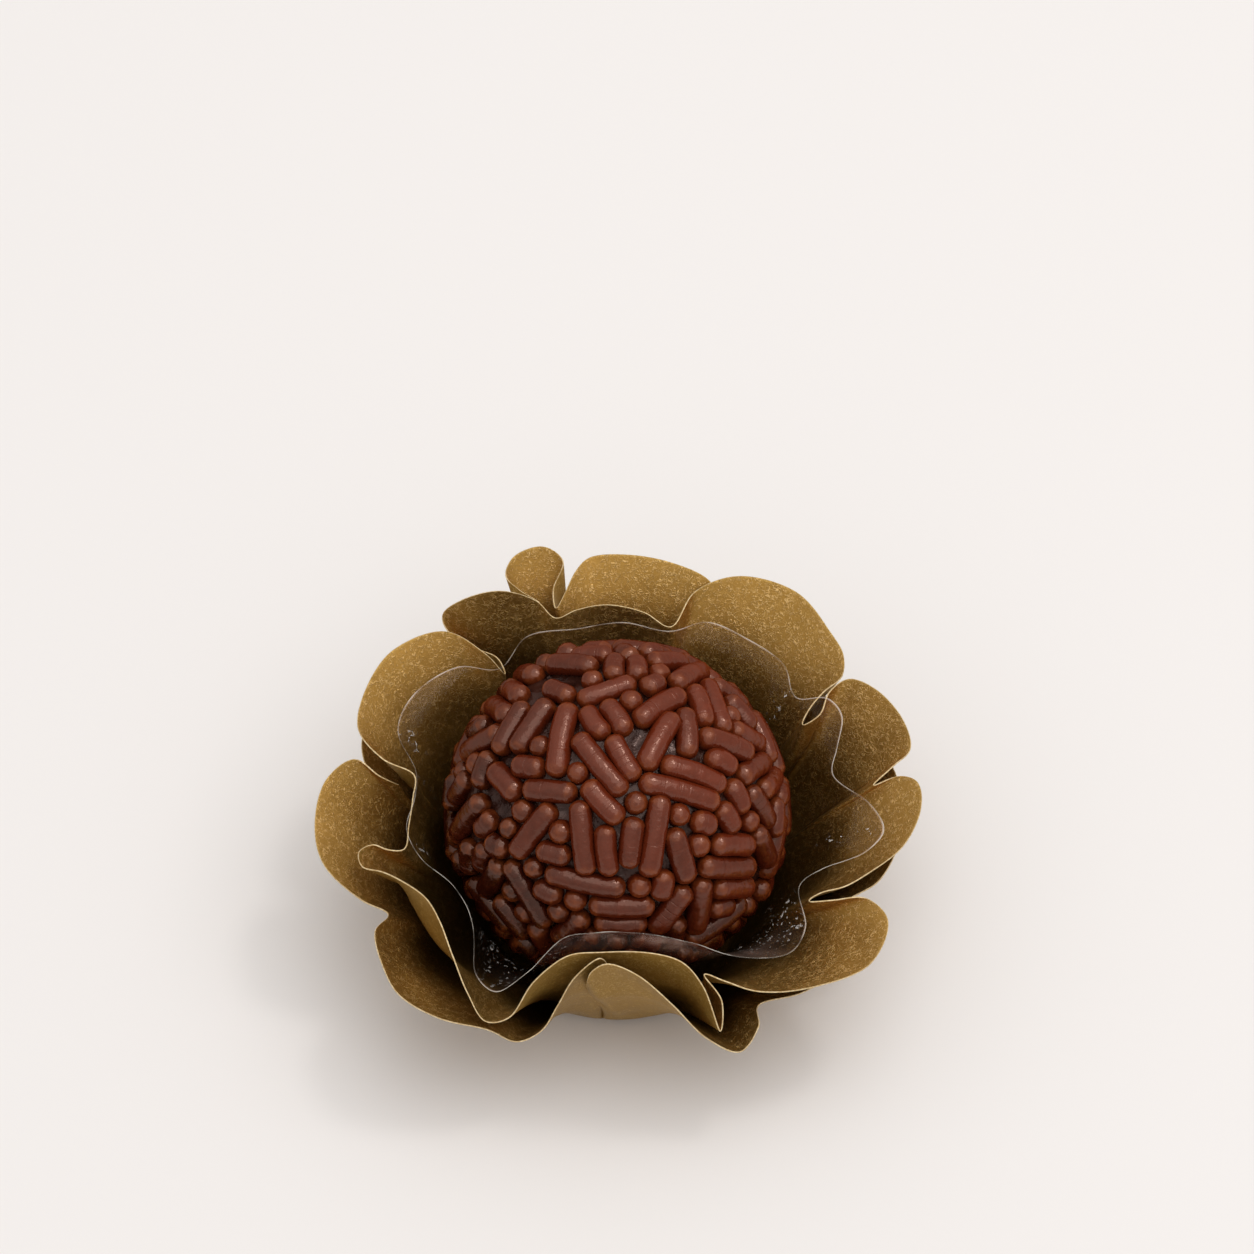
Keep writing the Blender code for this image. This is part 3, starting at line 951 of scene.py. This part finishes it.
FRONT_RODS = tuple(Rod(*row) for row in (
    (-0.10, 0.38, 116, 7.2), (0.08, 0.41, 110, 4.9), (-0.33, 0.57, 73, 7.3),
    (-0.60, 0.54, 44, 5.9), (-0.58, 0.41, 8, 3.6), (-0.50, 0.48), (-0.28, 0.31),
    (-0.49, 0.22, -12, 5.4), (-0.75, 0.18, 126, 4.7), (-0.66, 0.10), (-0.61, -0.10, 69, 6.4),
    (-0.28, -0.15, 101, 6.9), (-0.08, 0.05, 132, 4.9), (-0.11, -0.23, 105, 4.9),
    (0.08, -0.20, 80, 4.9), (0.24, -0.20, 80, 7.5), (0.42, -0.26, 97, 5.5),
    (0.13, 0.15, None, 3.4), (0.48, 0.18, -13, 7.9), (0.57, 0.34, -14, 6.8), (0.34, 0.59, 50, 6.5),
    (0.23, 0.71, 43, 6.3), (-0.06, 0.67, -27, 4.3), (-0.12, 0.84), (0.06, 0.79),
    (0.64, 0.49, -24, 6.4), (0.52, 0.72, -50, 4.9), (0.67, 0.66, -41, 4.2), (0.45, 0.02),
    (0.57, -0.08, -70, 2.9), (0.68, -0.05, -36, 3.5), (0.69, -0.20, 21, 5.4), (0.53, -0.24),
    (0.74, -0.42, -25, 5.6), (0.52, -0.60, 70, 6.4), (-0.23, -0.46, -8, 7.5),
    (0.07, -0.61, 6, 6.0), (-0.23, -0.64), (-0.40, -0.59, -30, 3.0), (-0.55, -0.41),
    (-0.55, -0.59, 122, 7.2), (-0.67, -0.62, 118, 5.0), (0.34, -0.62, 72, 5.6),
    (0.12, -0.73, -8, 5.0), (-0.35, -0.73, 115, 5.0), (-0.48, -0.26, -16, 3.6), (-0.44, -0.11),
    (-0.81, -0.31, 58, 5.7), (-0.76, -0.10), (-0.85, -0.13, 40, 3.2), (-0.92, 0.18, 15, 4.5),
    (-0.86, 0.33), (-0.41, 0.78, 31, 4.0), (-0.12, 0.95, -15, 4.4), (-0.01, 0.91, 40, 4.0),
    (0.17, 0.90, -60, 3.8), (0.30, 0.93, -15, 5.0), (-0.81, 0.52, 45, 4.0), (-0.69, 0.64, 30, 4.2),
    (0.11, -0.49), (0.31, -0.44, -60, 3.2), (0.89, 0.15, -56, 5.5), (0.82, 0.04, -49, 3.6),
))


@dataclass
class SprinkleLayout:
    """Packs rods side by side over the ball, round the listed ones."""

    radius: float  # of the ball out to the rods' backs
    centre: Vector
    floor: float
    rod_radius: float = 1.03 * MM
    shortest: float = 2.6 * MM
    longest: float = 7.4 * MM
    tries: int = 330
    short_share: float = 0.26
    standing_share: float = 0.10
    rounds: int = 45
    culled: int = 5  # rods taken out at a time
    press: float = 0.36  # deepest overlap as a share of a rod's radius
    beads: int = 5
    front_tilt: float = 53.0
    scatter: float = 0.03  # of the ball's radius, off the even spread
    long_from: float = 5.2 * MM
    short_to: float = 4.2 * MM
    unevenness: tuple[float, float] = (-0.22, 0.16)  # millimetres in and out
    girths: tuple[float, float] = (0.93, 1.04)
    # painted light: rods on the ball's top and right side get a lighter tone, as if lit from above
    # and the right
    lit_up: float = 0.8
    lit_right: float = 0.35
    tone_low: float = 0.08
    painted_light_gain: float = 0.62
    tone_spread: float = 0.3
    front_reach: float = 0.80  # share of the front's radius that holds placed rods alone
    placed_give: float = 0.12  # how readily a placed rod moves
    touching: float = 0.985  # of two radii, where rods begin to push
    push: float = 0.22  # share of an overlap that one push undoes
    most_spin: float = 0.12  # radians a push
    most_slide: float = 0.3 * MM
    turning_arm: float = 0.8 * MM  # steadies the shortest rods
    near_rounds: int = 20  # rounds between searches for neighbours
    seed: int = 7

    def settle(self) -> dict[str, np.ndarray]:
        """Place every rod.

        Returns:
            Arrays by name: centre, axis, outward, half, girth, tone and droop.
        """
        rng = np.random.default_rng(self.seed)
        self.start(rng)
        self.relax(self.rounds)
        while self.thin():
            self.relax(self.rounds)
        return self.result(rng)

    def start(self, rng: np.random.Generator) -> None:
        """Scatter the free rods evenly and add the placed ones.

        Args:
            rng: Seeded source of random numbers.
        """
        count = self.tries
        golden = math.pi * (3 - math.sqrt(5))
        rise = 1 - (2 * np.arange(count) + 1) / count
        turn = golden * np.arange(count)
        flat = np.sqrt(1 - rise ** 2)
        out = np.stack([flat * np.cos(turn), flat * np.sin(turn), rise], axis=1)
        out += rng.normal(0, self.scatter, out.shape)
        length = rng.uniform(self.long_from, self.longest, count)
        short = rng.random(count) < self.short_share
        length[short] = rng.uniform(self.shortest, self.short_to, short.sum())
        stands = rng.random(count) < self.standing_share
        random_way = rng.normal(0, 1, out.shape)
        keep = self.off_front(out)
        out, length, stands, random_way = out[keep], length[keep], stands[keep], random_way[keep]
        placed = [self.from_front(rod) for rod in FRONT_RODS]
        out = np.concatenate([np.array([row[0] for row in placed]), out])
        random_way = np.concatenate([np.array([row[1] for row in placed]), random_way])
        length = np.concatenate([[rod.length * MM for rod in FRONT_RODS], length])
        stands = np.concatenate([[rod.stands() for rod in FRONT_RODS], stands])
        self.pinned = np.arange(len(out)) < len(placed)
        self.out = unit(out)
        self.stands = stands.astype(bool)
        self.half = np.maximum(length / 2 - self.rod_radius, 0.1 * MM)
        self.way = self.tangent(random_way)

    def front_axes(self) -> tuple[np.ndarray, np.ndarray, np.ndarray]:
        """Return the front's right, up and outward directions."""
        tilt = math.radians(self.front_tilt)
        return (np.array([1.0, 0.0, 0.0]), np.array([0.0, math.sin(tilt), math.cos(tilt)]),
                np.array([0.0, -math.cos(tilt), math.sin(tilt)]))

    def off_front(self, out: np.ndarray) -> np.ndarray:
        """Return which directions lie outside the front, whose rods are listed."""
        right, up, front = self.front_axes()
        reach = np.hypot(out @ right, out @ up) / np.linalg.norm(out, axis=1)
        return (reach > self.front_reach) | (out @ front < 0)

    def from_front(self, rod: Rod) -> tuple[np.ndarray, np.ndarray]:
        """Return a placed rod's outward direction and its heading."""
        right, up, front = self.front_axes()
        depth = math.sqrt(max(0.0, 1 - rod.across ** 2 - rod.up ** 2))
        out = right * rod.across + up * rod.up + front * depth
        turn = math.radians(rod.heading or 0.0)
        flat = right * math.cos(turn) + up * math.sin(turn)
        return out, flat - front * (flat @ out) / max(depth, 0.05)

    def tangent(self, way: np.ndarray) -> np.ndarray:
        """Return directions laid flat on the ball."""
        return unit(way - self.out * np.sum(way * self.out, axis=1, keepdims=True))

    def axes(self) -> np.ndarray:
        """Return each rod's long direction."""
        return np.where(self.stands[:, None], self.out, self.way)

    def bead_places(self) -> np.ndarray:
        """Return a few places along each rod, drooped with the ball."""
        spread = np.linspace(-1, 1, self.beads)
        middle = self.out * (self.radius - self.rod_radius)
        middle = middle - self.out * np.where(self.stands, self.half, 0.0)[:, None]
        reach = self.axes()[:, None, :] * (self.half[:, None] * spread)[:, :, None]
        droop = (self.half[:, None] * spread) ** 2 / (2 * self.radius) * ~self.stands[:, None]
        return middle[:, None, :] + reach - self.out[:, None, :] * droop[:, :, None]

    def relax(self, rounds: int) -> None:
        """Push overlapping rods apart along the ball.

        Args:
            rounds: How many times to push.
        """
        for turn in range(rounds):
            if turn % self.near_rounds == 0:
                near = self.neighbours()
            first, second = near
            beads = self.bead_places()
            gap = beads[first][:, :, None, :] - beads[second][:, None, :, :]
            far = np.linalg.norm(gap, axis=3)
            close = np.maximum(0.0, 2 * self.rod_radius * self.touching - far)
            push = gap / np.maximum(far, 1e-9)[..., None] * (close * self.push)[..., None]
            force = np.zeros_like(beads)
            np.add.at(force, first, push.sum(axis=2))
            np.add.at(force, second, -push.sum(axis=1))
            self.move(force, beads)

    def move(self, force: np.ndarray, beads: np.ndarray) -> None:
        """Slide and turn the free rods by the pushes on their beads.

        Args:
            force: Push on each bead.
            beads: The beads' places.
        """
        free = np.where(self.pinned, self.placed_give, 1.0)[:, None]
        slide = force.sum(axis=1)
        slide -= self.out * np.sum(slide * self.out, axis=1, keepdims=True)
        arms = beads - beads.mean(axis=1, keepdims=True)
        twist = np.sum(np.cross(arms, force), axis=1)
        spin = np.sum(twist * self.out, axis=1)
        spin /= np.sum(arms ** 2, axis=(1, 2)) + self.turning_arm ** 2
        spin = np.clip(spin, -self.most_spin, self.most_spin)
        turned = self.way + np.cross(self.out, self.way) * spin[:, None] * free
        slide = np.clip(slide, -self.most_slide, self.most_slide)
        self.out = self.out + slide / self.radius * free
        self.out = unit(self.out)
        self.way = self.tangent(turned)

    def neighbours(self) -> tuple[np.ndarray, np.ndarray]:
        """Return the pairs of rods that may touch."""
        middle = self.out * self.radius
        far = np.linalg.norm(middle[:, None] - middle[None], axis=2)
        reach = self.half[:, None] + self.half[None] + 3 * self.rod_radius
        first, second = np.nonzero(np.triu(far < reach, 1))
        return first, second

    def overlaps(self) -> np.ndarray:
        """Return each rod's deepest overlap with another."""
        first, second = self.neighbours()
        beads = self.bead_places()
        far = np.linalg.norm(beads[first][:, :, None, :] - beads[second][:, None, :, :], axis=3)
        deep = np.maximum(0.0, 2 * self.rod_radius - far.min(axis=(1, 2)))
        found = np.zeros(len(self.out))
        np.maximum.at(found, first, deep)
        np.maximum.at(found, second, deep)
        return found

    def thin(self) -> bool:
        """Take out a few free rods that are pressed deepest into others.

        Returns:
            True if any rod was taken out.
        """
        deep = self.overlaps()
        deep[self.pinned] = 0.0
        worst = [i for i in np.argsort(deep)[::-1][:self.culled]
                 if deep[i] > self.press * self.rod_radius]
        keep = ~np.isin(np.arange(len(self.out)), worst)
        for name in ("out", "way", "half", "stands", "pinned"):
            setattr(self, name, getattr(self, name)[keep])
        return bool(worst)

    def result(self, rng: np.random.Generator) -> dict[str, np.ndarray]:
        """Return the rods as arrays, with the lowest ones kept off the floor.

        Args:
            rng: Seeded source of random numbers.

        Returns:
            Arrays by name.
        """
        count = len(self.out)
        beads = self.bead_places()
        middle = beads[:, self.beads // 2] + np.array(self.centre)
        free = ~self.pinned
        middle += self.out * (rng.uniform(*self.unevenness, count) * MM * free)[:, None]
        lowest = middle[:, 2] - np.abs(self.axes()[:, 2]) * self.half - self.rod_radius
        middle[:, 2] += np.maximum(0.0, self.floor - lowest)
        droop = np.where(self.stands, 0.0, self.half ** 2 / (2 * self.radius))
        # Painted light: a rod's tone rises with how far up and to the right it sits on the ball;
        # the rest of the tone is random.
        painted_light = self.lit_up * self.out[:, 2] + self.lit_right * self.out[:, 0]
        tone = self.tone_low + self.painted_light_gain * painted_light + self.tone_spread * rng.random(count)
        return {"centre": middle, "axis": self.axes(), "outward": self.out, "half": self.half,
                "girth": rng.uniform(*self.girths, count), "tone": np.clip(tone, 0.0, 1.0),
                "droop": droop * rng.uniform(0.5, 1.0, count)}


@dataclass
class SprinkleCoat:
    """The sprinkles, each a capsule that a tree of nodes stretches, bends and dents."""

    layout: dict[str, np.ndarray]
    rod_radius: float
    finish: Finish
    sides: int = 12
    rings: int = 12
    cap_share: float = 0.30  # share of the rings on each rounded end
    cap_height: float = 0.86
    lump_size: float = 1.7 * MM
    lump_height: float = 0.22 * MM
    bow: float = 0.16 * MM

    def points(self) -> Object:
        """Return a mesh with one vertex for each rod, which carries its measures."""
        mesh = bpy.data.meshes.new("sprinkle_places")
        mesh.from_pydata(self.layout["centre"].tolist(), [], [])
        for name in ("axis", "outward"):
            layer = mesh.attributes.new(name, "FLOAT_VECTOR", "POINT")
            layer.data.foreach_set("vector", self.layout[name].astype(np.float32).ravel())
        for name in ("half", "girth", "tone", "droop"):
            layer = mesh.attributes.new(name, "FLOAT", "POINT")
            layer.data.foreach_set("value", self.layout[name].astype(np.float32))
        return show("chocolate_sprinkles", mesh)

    def tree(self) -> tuple[GeometryNodeTree, dict[str, str]]:
        """Build the tree that makes the rods.

        Returns:
            The tree, and its inputs' identifiers by name.
        """
        tree = bpy.data.node_groups.new("sprinkle_rods", "GeometryNodeTree")
        sockets = {}
        for name, kind in (("Places", "NodeSocketGeometry"), ("Rod radius", "NodeSocketFloat"),
                           ("Lump size", "NodeSocketFloat"), ("Lump height", "NodeSocketFloat"),
                           ("Bow", "NodeSocketFloat"), ("Chocolate", "NodeSocketMaterial")):
            item = tree.interface.new_socket(name, in_out="INPUT", socket_type=kind)
            sockets[name] = item.identifier
        tree.interface.new_socket("Rods", in_out="OUTPUT", socket_type="NodeSocketGeometry")
        graph = Graph(tree)
        given = graph.add("NodeGroupInput").outputs
        blank = self.capsule(graph)
        stored = {name: graph.add("GeometryNodeInputNamedAttribute", {"Name": name}, data_type=kind)
                  for name, kind in (("axis", "FLOAT_VECTOR"), ("outward", "FLOAT_VECTOR"),
                                     ("half", "FLOAT"), ("girth", "FLOAT"), ("droop", "FLOAT"),
                                     ("along", "FLOAT"), ("tone", "FLOAT"))}
        lengthways = graph.add("FunctionNodeAlignRotationToVector", {"Vector": stored["axis"]},
                               axis="Z")
        rolled = graph.add("FunctionNodeAlignRotationToVector",
                           {"Rotation": lengthways, "Vector": stored["outward"]},
                           axis="X", pivot_axis="Z")
        girth = graph.times(stored["girth"], given["Rod radius"])
        rods = graph.add("GeometryNodeInstanceOnPoints", {
            "Points": given["Places"], "Instance": blank, "Rotation": rolled, "Scale": girth})
        rods = graph.add("GeometryNodeRealizeInstances", {"Geometry": rods})
        reach = graph.times(stored["half"], stored["along"])
        square = graph.times(stored["along"], stored["along"])
        sag = graph.times(graph.times(stored["droop"], square), -1.0)
        side = graph.vector("CROSS_PRODUCT", stored["axis"], stored["outward"])
        lean = graph.times(graph.math("SUBTRACT", stored["tone"], 0.5), 2.0)
        bow = graph.times(graph.times(lean, square), given["Bow"])
        shift = graph.vector("SCALE", stored["axis"], scale=reach)
        shift = graph.vector("ADD", shift, graph.vector("SCALE", stored["outward"], scale=sag))
        shift = graph.vector("ADD", shift, graph.vector("SCALE", side, scale=bow))
        rods = graph.add("GeometryNodeSetPosition", {"Geometry": rods, "Offset": shift})
        spot = graph.vector("SCALE", graph.add("GeometryNodeInputPosition"),
                            scale=graph.math("DIVIDE", 1.0, given["Lump size"]))
        lump = graph.add("ShaderNodeTexNoise", {"Vector": spot, "Scale": 1.0, "Detail": 1.0})
        lift = graph.times(graph.math("SUBTRACT", lump, 0.5), given["Lump height"])
        dent = graph.vector("SCALE", graph.add("GeometryNodeInputNormal"), scale=lift)
        rods = graph.add("GeometryNodeSetPosition", {"Geometry": rods, "Offset": dent})
        rods = graph.add("GeometryNodeSetMaterial", {
            "Geometry": rods, "Material": given["Chocolate"]})
        graph.add("NodeGroupOutput", {0: rods})
        return tree, sockets

    def capsule(self, graph: Graph) -> TreeNode:
        """Return a ball whose middle rings are drawn in to a rod's body, ready to be stretched."""
        ball = graph.add("GeometryNodeMeshUVSphere", {
            "Segments": self.sides, "Rings": self.rings, "Radius": 1.0})
        here = graph.add("GeometryNodeInputPosition")
        spot = graph.add("ShaderNodeSeparateXYZ", {0: here}).outputs
        level = graph.math("ARCCOSINE", graph.limit(spot[2]))
        level = graph.math("DIVIDE", level, math.pi)
        side = graph.math("SUBTRACT", 0.5, level)
        end = graph.math("MINIMUM", level, graph.math("SUBTRACT", 1.0, level))
        round_off = graph.times(graph.math("DIVIDE", end, self.cap_share, clamp=True), math.pi / 2)
        slim = graph.math("SINE", graph.times(level, math.pi))
        ring = graph.math("DIVIDE", graph.math("SINE", round_off), slim)
        tall = graph.times(graph.math("COSINE", round_off), graph.math("SIGN", side))
        along = graph.math("DIVIDE", side, 0.5 - self.cap_share)
        along = graph.limit(along)
        marked = graph.add("GeometryNodeStoreNamedAttribute", {
            "Geometry": ball, "Name": "along", "Value": along}, data_type="FLOAT", domain="POINT")
        shape = graph.add("ShaderNodeCombineXYZ", {
            0: graph.times(spot[0], ring), 1: graph.times(spot[1], ring),
            2: graph.times(tall, self.cap_height)})
        moved = graph.add("GeometryNodeSetPosition", {"Geometry": marked, "Position": shape})
        return graph.add("GeometryNodeSetShadeSmooth", {"Geometry": moved})

    def build(self) -> Object:
        """Return all the sprinkles as one plain mesh."""
        piece = self.points()
        tree, sockets = self.tree()
        rods = piece.modifiers.new("rods", "NODES")
        rods.node_group = tree
        values = {"Rod radius": self.rod_radius, "Lump size": self.lump_size,
                  "Lump height": self.lump_height, "Bow": self.bow,
                  "Chocolate": self.finish.build()}
        for name, value in values.items():
            rods[sockets[name]] = value
        shown = piece.evaluated_get(bpy.context.evaluated_depsgraph_get())
        mesh = bpy.data.meshes.new_from_object(shown)
        piece.modifiers.clear()
        piece.data = mesh
        return piece


@dataclass
class FudgeCore:
    """The fudge ball under the sprinkles, drawn up a little round each of them."""

    layout: dict[str, np.ndarray]
    radius: float
    centre: Vector
    floor: float
    rod_radius: float
    finish: Finish
    subdivisions: int = 6
    lump_size: float = 2.4 * MM
    lump_height: float = 0.35 * MM
    creep: float = 0.42 * MM
    creep_width: float = 0.38 * MM

    def build(self) -> Object:
        """Return the fudge ball."""
        shape = bmesh.new()
        bmesh.ops.create_icosphere(shape, subdivisions=self.subdivisions, radius=self.radius)
        for face in shape.faces:
            face.smooth = True
        mesh = bpy.data.meshes.new("fudge_core")
        shape.to_mesh(mesh)
        shape.free()
        places = np.empty(len(mesh.vertices) * 3)
        mesh.vertices.foreach_get("co", places)
        places = places.reshape(-1, 3)
        out = unit(places)
        near = self.nearest_rod(places + np.array(self.centre))
        swell = np.exp(-((near - self.rod_radius) / self.creep_width) ** 2) * self.creep
        lumps = np.array([noise.noise(Vector(spot) / self.lump_size) for spot in places])
        places = places + out * (swell + lumps * self.lump_height)[:, None] + np.array(self.centre)
        places[:, 2] = np.maximum(places[:, 2], self.floor)
        mesh.vertices.foreach_set("co", places.ravel())
        mesh.update()
        mesh.materials.append(self.finish.build())
        return show("fudge_core", mesh)

    def nearest_rod(self, places: np.ndarray) -> np.ndarray:
        """Return how far each place is from the nearest rod's axis."""
        found = np.full(len(places), 1.0)
        for middle, axis, half in zip(*(self.layout[name] for name in ("centre", "axis", "half"))):
            away = places - middle
            run = np.clip(away @ axis, -half, half)
            found = np.minimum(found, np.linalg.norm(away - run[:, None] * axis, axis=1))
        return found


# ---- studio


@dataclass(frozen=True)
class Lamp:
    """A square soft lamp."""

    name: str
    place: tuple[float, float, float]
    size: float
    power: float  # watts
    colour: Colour


LAMPS = (
    Lamp("softbox above", (0.24, -0.08, 0.95), 1.05, 3.4, (1.0, 0.98, 0.965)),
    Lamp("lamp above", (0.36, 0.20, 0.88), 0.16, 0.8, (1.0, 0.97, 0.94)),
)


@dataclass
class Studio:
    """A pale table, soft light from above, and the camera."""

    aim: Vector
    table_colour: Colour = (0.850, 0.825, 0.812)
    table_size: float = 3.0
    elevation: float = 53.0
    distance: float = 0.87
    view_width: float = 108.1 * MM
    shift_right: float = 0.95 * MM
    shift_up: float = 15.86 * MM
    sensor: float = 36.0
    sky_colour: Colour = (1.0, 0.985, 0.97)
    sky_low: float = 0.56
    sky_high: float = 0.86

    def build(self) -> None:
        """Make the table, the lights, the sky and the camera."""
        self.table()
        for lamp in LAMPS:
            self.hang(lamp)
        self.sky()
        self.camera()
        bpy.context.scene.view_settings.view_transform = "Standard"

    def table(self) -> None:
        """Lay the tabletop at the cups' underside."""
        half = self.table_size / 2
        mesh = bpy.data.meshes.new("tabletop")
        mesh.from_pydata([(-half, -half, 0), (half, -half, 0), (half, half, 0), (-half, half, 0)],
                         [], [(0, 1, 2, 3)])
        mesh.materials.append(TableTop("pale table", self.table_colour).build())
        top = show("tabletop", mesh)

    def hang(self, lamp: Lamp) -> None:
        """Hang a square soft lamp that faces the sweet."""
        light = bpy.data.lights.new(lamp.name, "AREA")
        light.shape = "SQUARE"
        light.size = lamp.size
        light.energy = lamp.power
        light.color = lamp.colour
        hung = show(lamp.name, light)
        hung.location = lamp.place
        hung.rotation_euler = (Vector(lamp.place) - self.aim).to_track_quat("Z", "Y").to_euler()

    def sky(self) -> None:
        """Give the room its even light, dimmer towards the floor."""
        world = bpy.data.worlds.new("room")
        world.use_nodes = True
        graph = Graph(world.node_tree)
        way = graph.add("ShaderNodeTexCoord").outputs["Generated"]
        height = graph.add("ShaderNodeSeparateXYZ", {0: way}).outputs[2]
        air = graph.add("ShaderNodeBackground", {
            "Color": opaque(self.sky_colour),
            "Strength": graph.span(height, 0.1, 1.0, self.sky_low, self.sky_high)})
        output = graph.add("ShaderNodeOutputWorld")
        graph.tree.links.new(air.outputs[0], output.inputs["Surface"])
        bpy.context.scene.world = world

    def camera(self) -> None:
        """Set the camera at the front, looking down."""
        tilt = math.radians(self.elevation)
        back = Vector((0.0, -math.cos(tilt), math.sin(tilt)))
        up = Vector((0.0, math.sin(tilt), math.cos(tilt)))
        target = self.aim + Vector((self.shift_right, 0.0, 0.0)) + up * self.shift_up
        lens = bpy.data.cameras.new("camera")
        lens.sensor_width = self.sensor
        lens.lens = self.sensor * self.distance / self.view_width
        lens.clip_start = 0.01
        eye = show("camera", lens)
        eye.location = target + back * self.distance
        eye.rotation_euler = back.to_track_quat("Z", "Y").to_euler()
        bpy.context.scene.camera = eye


# ---- main


@dataclass
class Brigadeiro:
    """The whole sweet in its case, set on the part's solids."""

    paper: float = 0.11 * MM
    film: float = 0.05 * MM
    ball_radius: float = 15.0 * MM
    core_radius: float = 13.25 * MM
    rod_radius: float = 1.03 * MM
    paper_lift: float = 0.1 * MM  # of the sheet's middle above its solid's underside
    film_lift: float = 0.05 * MM
    paper_flare: float = 1.7
    film_flare: float = 6.0
    settled: float = 0.5 * MM  # how far the soft ball sinks on its liner

    def sheets(self) -> list[Sheet]:
        """Return the three nested sheets, from the outside in."""
        bowl = Bowl()
        edge = CutEdge("cut edge", (0.55, 0.38, 0.17), (0.80, 0.64, 0.38))
        # The inside carries painted shade low in the cup, near the ball.
        inside = PaperFace("bronze inside", (0.25, 0.130, 0.020), (0.72, 0.41, 0.105),
                           (0.90, 0.60, 0.25), metallic=0.90, gloss_low=0.40, gloss_high=0.52,
                           painted_shade=0.85)
        outside = PaperFace("bronze outside", (0.195, 0.106, 0.017), (0.42, 0.24, 0.050),
                            (0.50, 0.32, 0.10), metallic=0.50, gloss_low=0.42, gloss_high=0.58)
        film = ClearFilm("clear film", (0.88, 0.60, 0.50), (0.90, 0.84, 0.74))
        floors = {node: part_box(node.value)[0].z for node in Node}
        papers = (inside, outside, edge)
        return [
            Sheet(Node.OUTER_CUP, Slot.OUTER_PAPER, 2, floors[Node.OUTER_CUP] + self.paper_lift,
                  self.paper, self.paper_flare, OUTER_PETALS, papers, bowl),
            Sheet(Node.INNER_CUP, Slot.INNER_PAPER, 1, floors[Node.INNER_CUP] + self.paper_lift,
                  self.paper, self.paper_flare, INNER_PETALS, papers, bowl),
            # The liner carries painted glints and a painted reflection.
            Sheet(Node.LINER, Slot.FILM, 0, floors[Node.LINER] + self.film_lift, self.film,
                  self.film_flare, FILM_PETALS, (film, film, film), bowl, ripple=0.10 * MM,
                  ripple_size=2.6 * MM, rub_width=0.06 * MM, rim_shares=(0.984, 0.9955),
                  painted_glint_marks=FILM_PAINTED_GLINTS, painted_reflection_patches=FILM_PAINTED_REFLECTIONS),
        ]

    def build(self) -> None:
        """Build every piece and set it on the part."""
        for sheet in self.sheets():
            self.fit(sheet.build(), sheet.node)
        low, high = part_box(Node.BALL.value)
        centre = Vector((0.0, 0.0, low.z - self.settled + self.ball_radius))
        layout = SprinkleLayout(self.ball_radius, centre, low.z, self.rod_radius).settle()
        core = FudgeCore(layout, self.core_radius, centre, low.z, self.rod_radius,
                         Fudge("wet fudge", (0.016, 0.005, 0.0035), (0.040, 0.013, 0.008))).build()
        coat = SprinkleCoat(layout, self.rod_radius, Chocolate(
            "chocolate sprinkles", (0.022, 0.0032, 0.0010), (0.150, 0.0225, 0.0068),
            (0.20, 0.046, 0.010))).build()
        self.fit(core, Node.BALL)
        self.fit(coat, Node.BALL)
        log.info("%d sprinkles", len(layout["half"]))

    def fit(self, piece: Object, node: Node) -> None:
        """Ride a piece on the part, hide the solid that it stands for, and log its faces.

        Args:
            piece: The finished piece.
            node: The solid that it replaces.
        """
        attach(piece, BODY)
        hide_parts(node.value)
        log.info("%s: %d faces", piece.name, len(piece.data.polygons))


def main() -> None:
    """Build the looks over the loaded part."""
    logging.basicConfig(level=logging.INFO, format="%(name)s: %(message)s")
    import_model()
    Studio(aim=Vector((0.0, 0.0, 15.6 * MM))).build()
    Brigadeiro().build()
    bpy.context.view_layer.update()


if __name__ == "__main__":
    main()
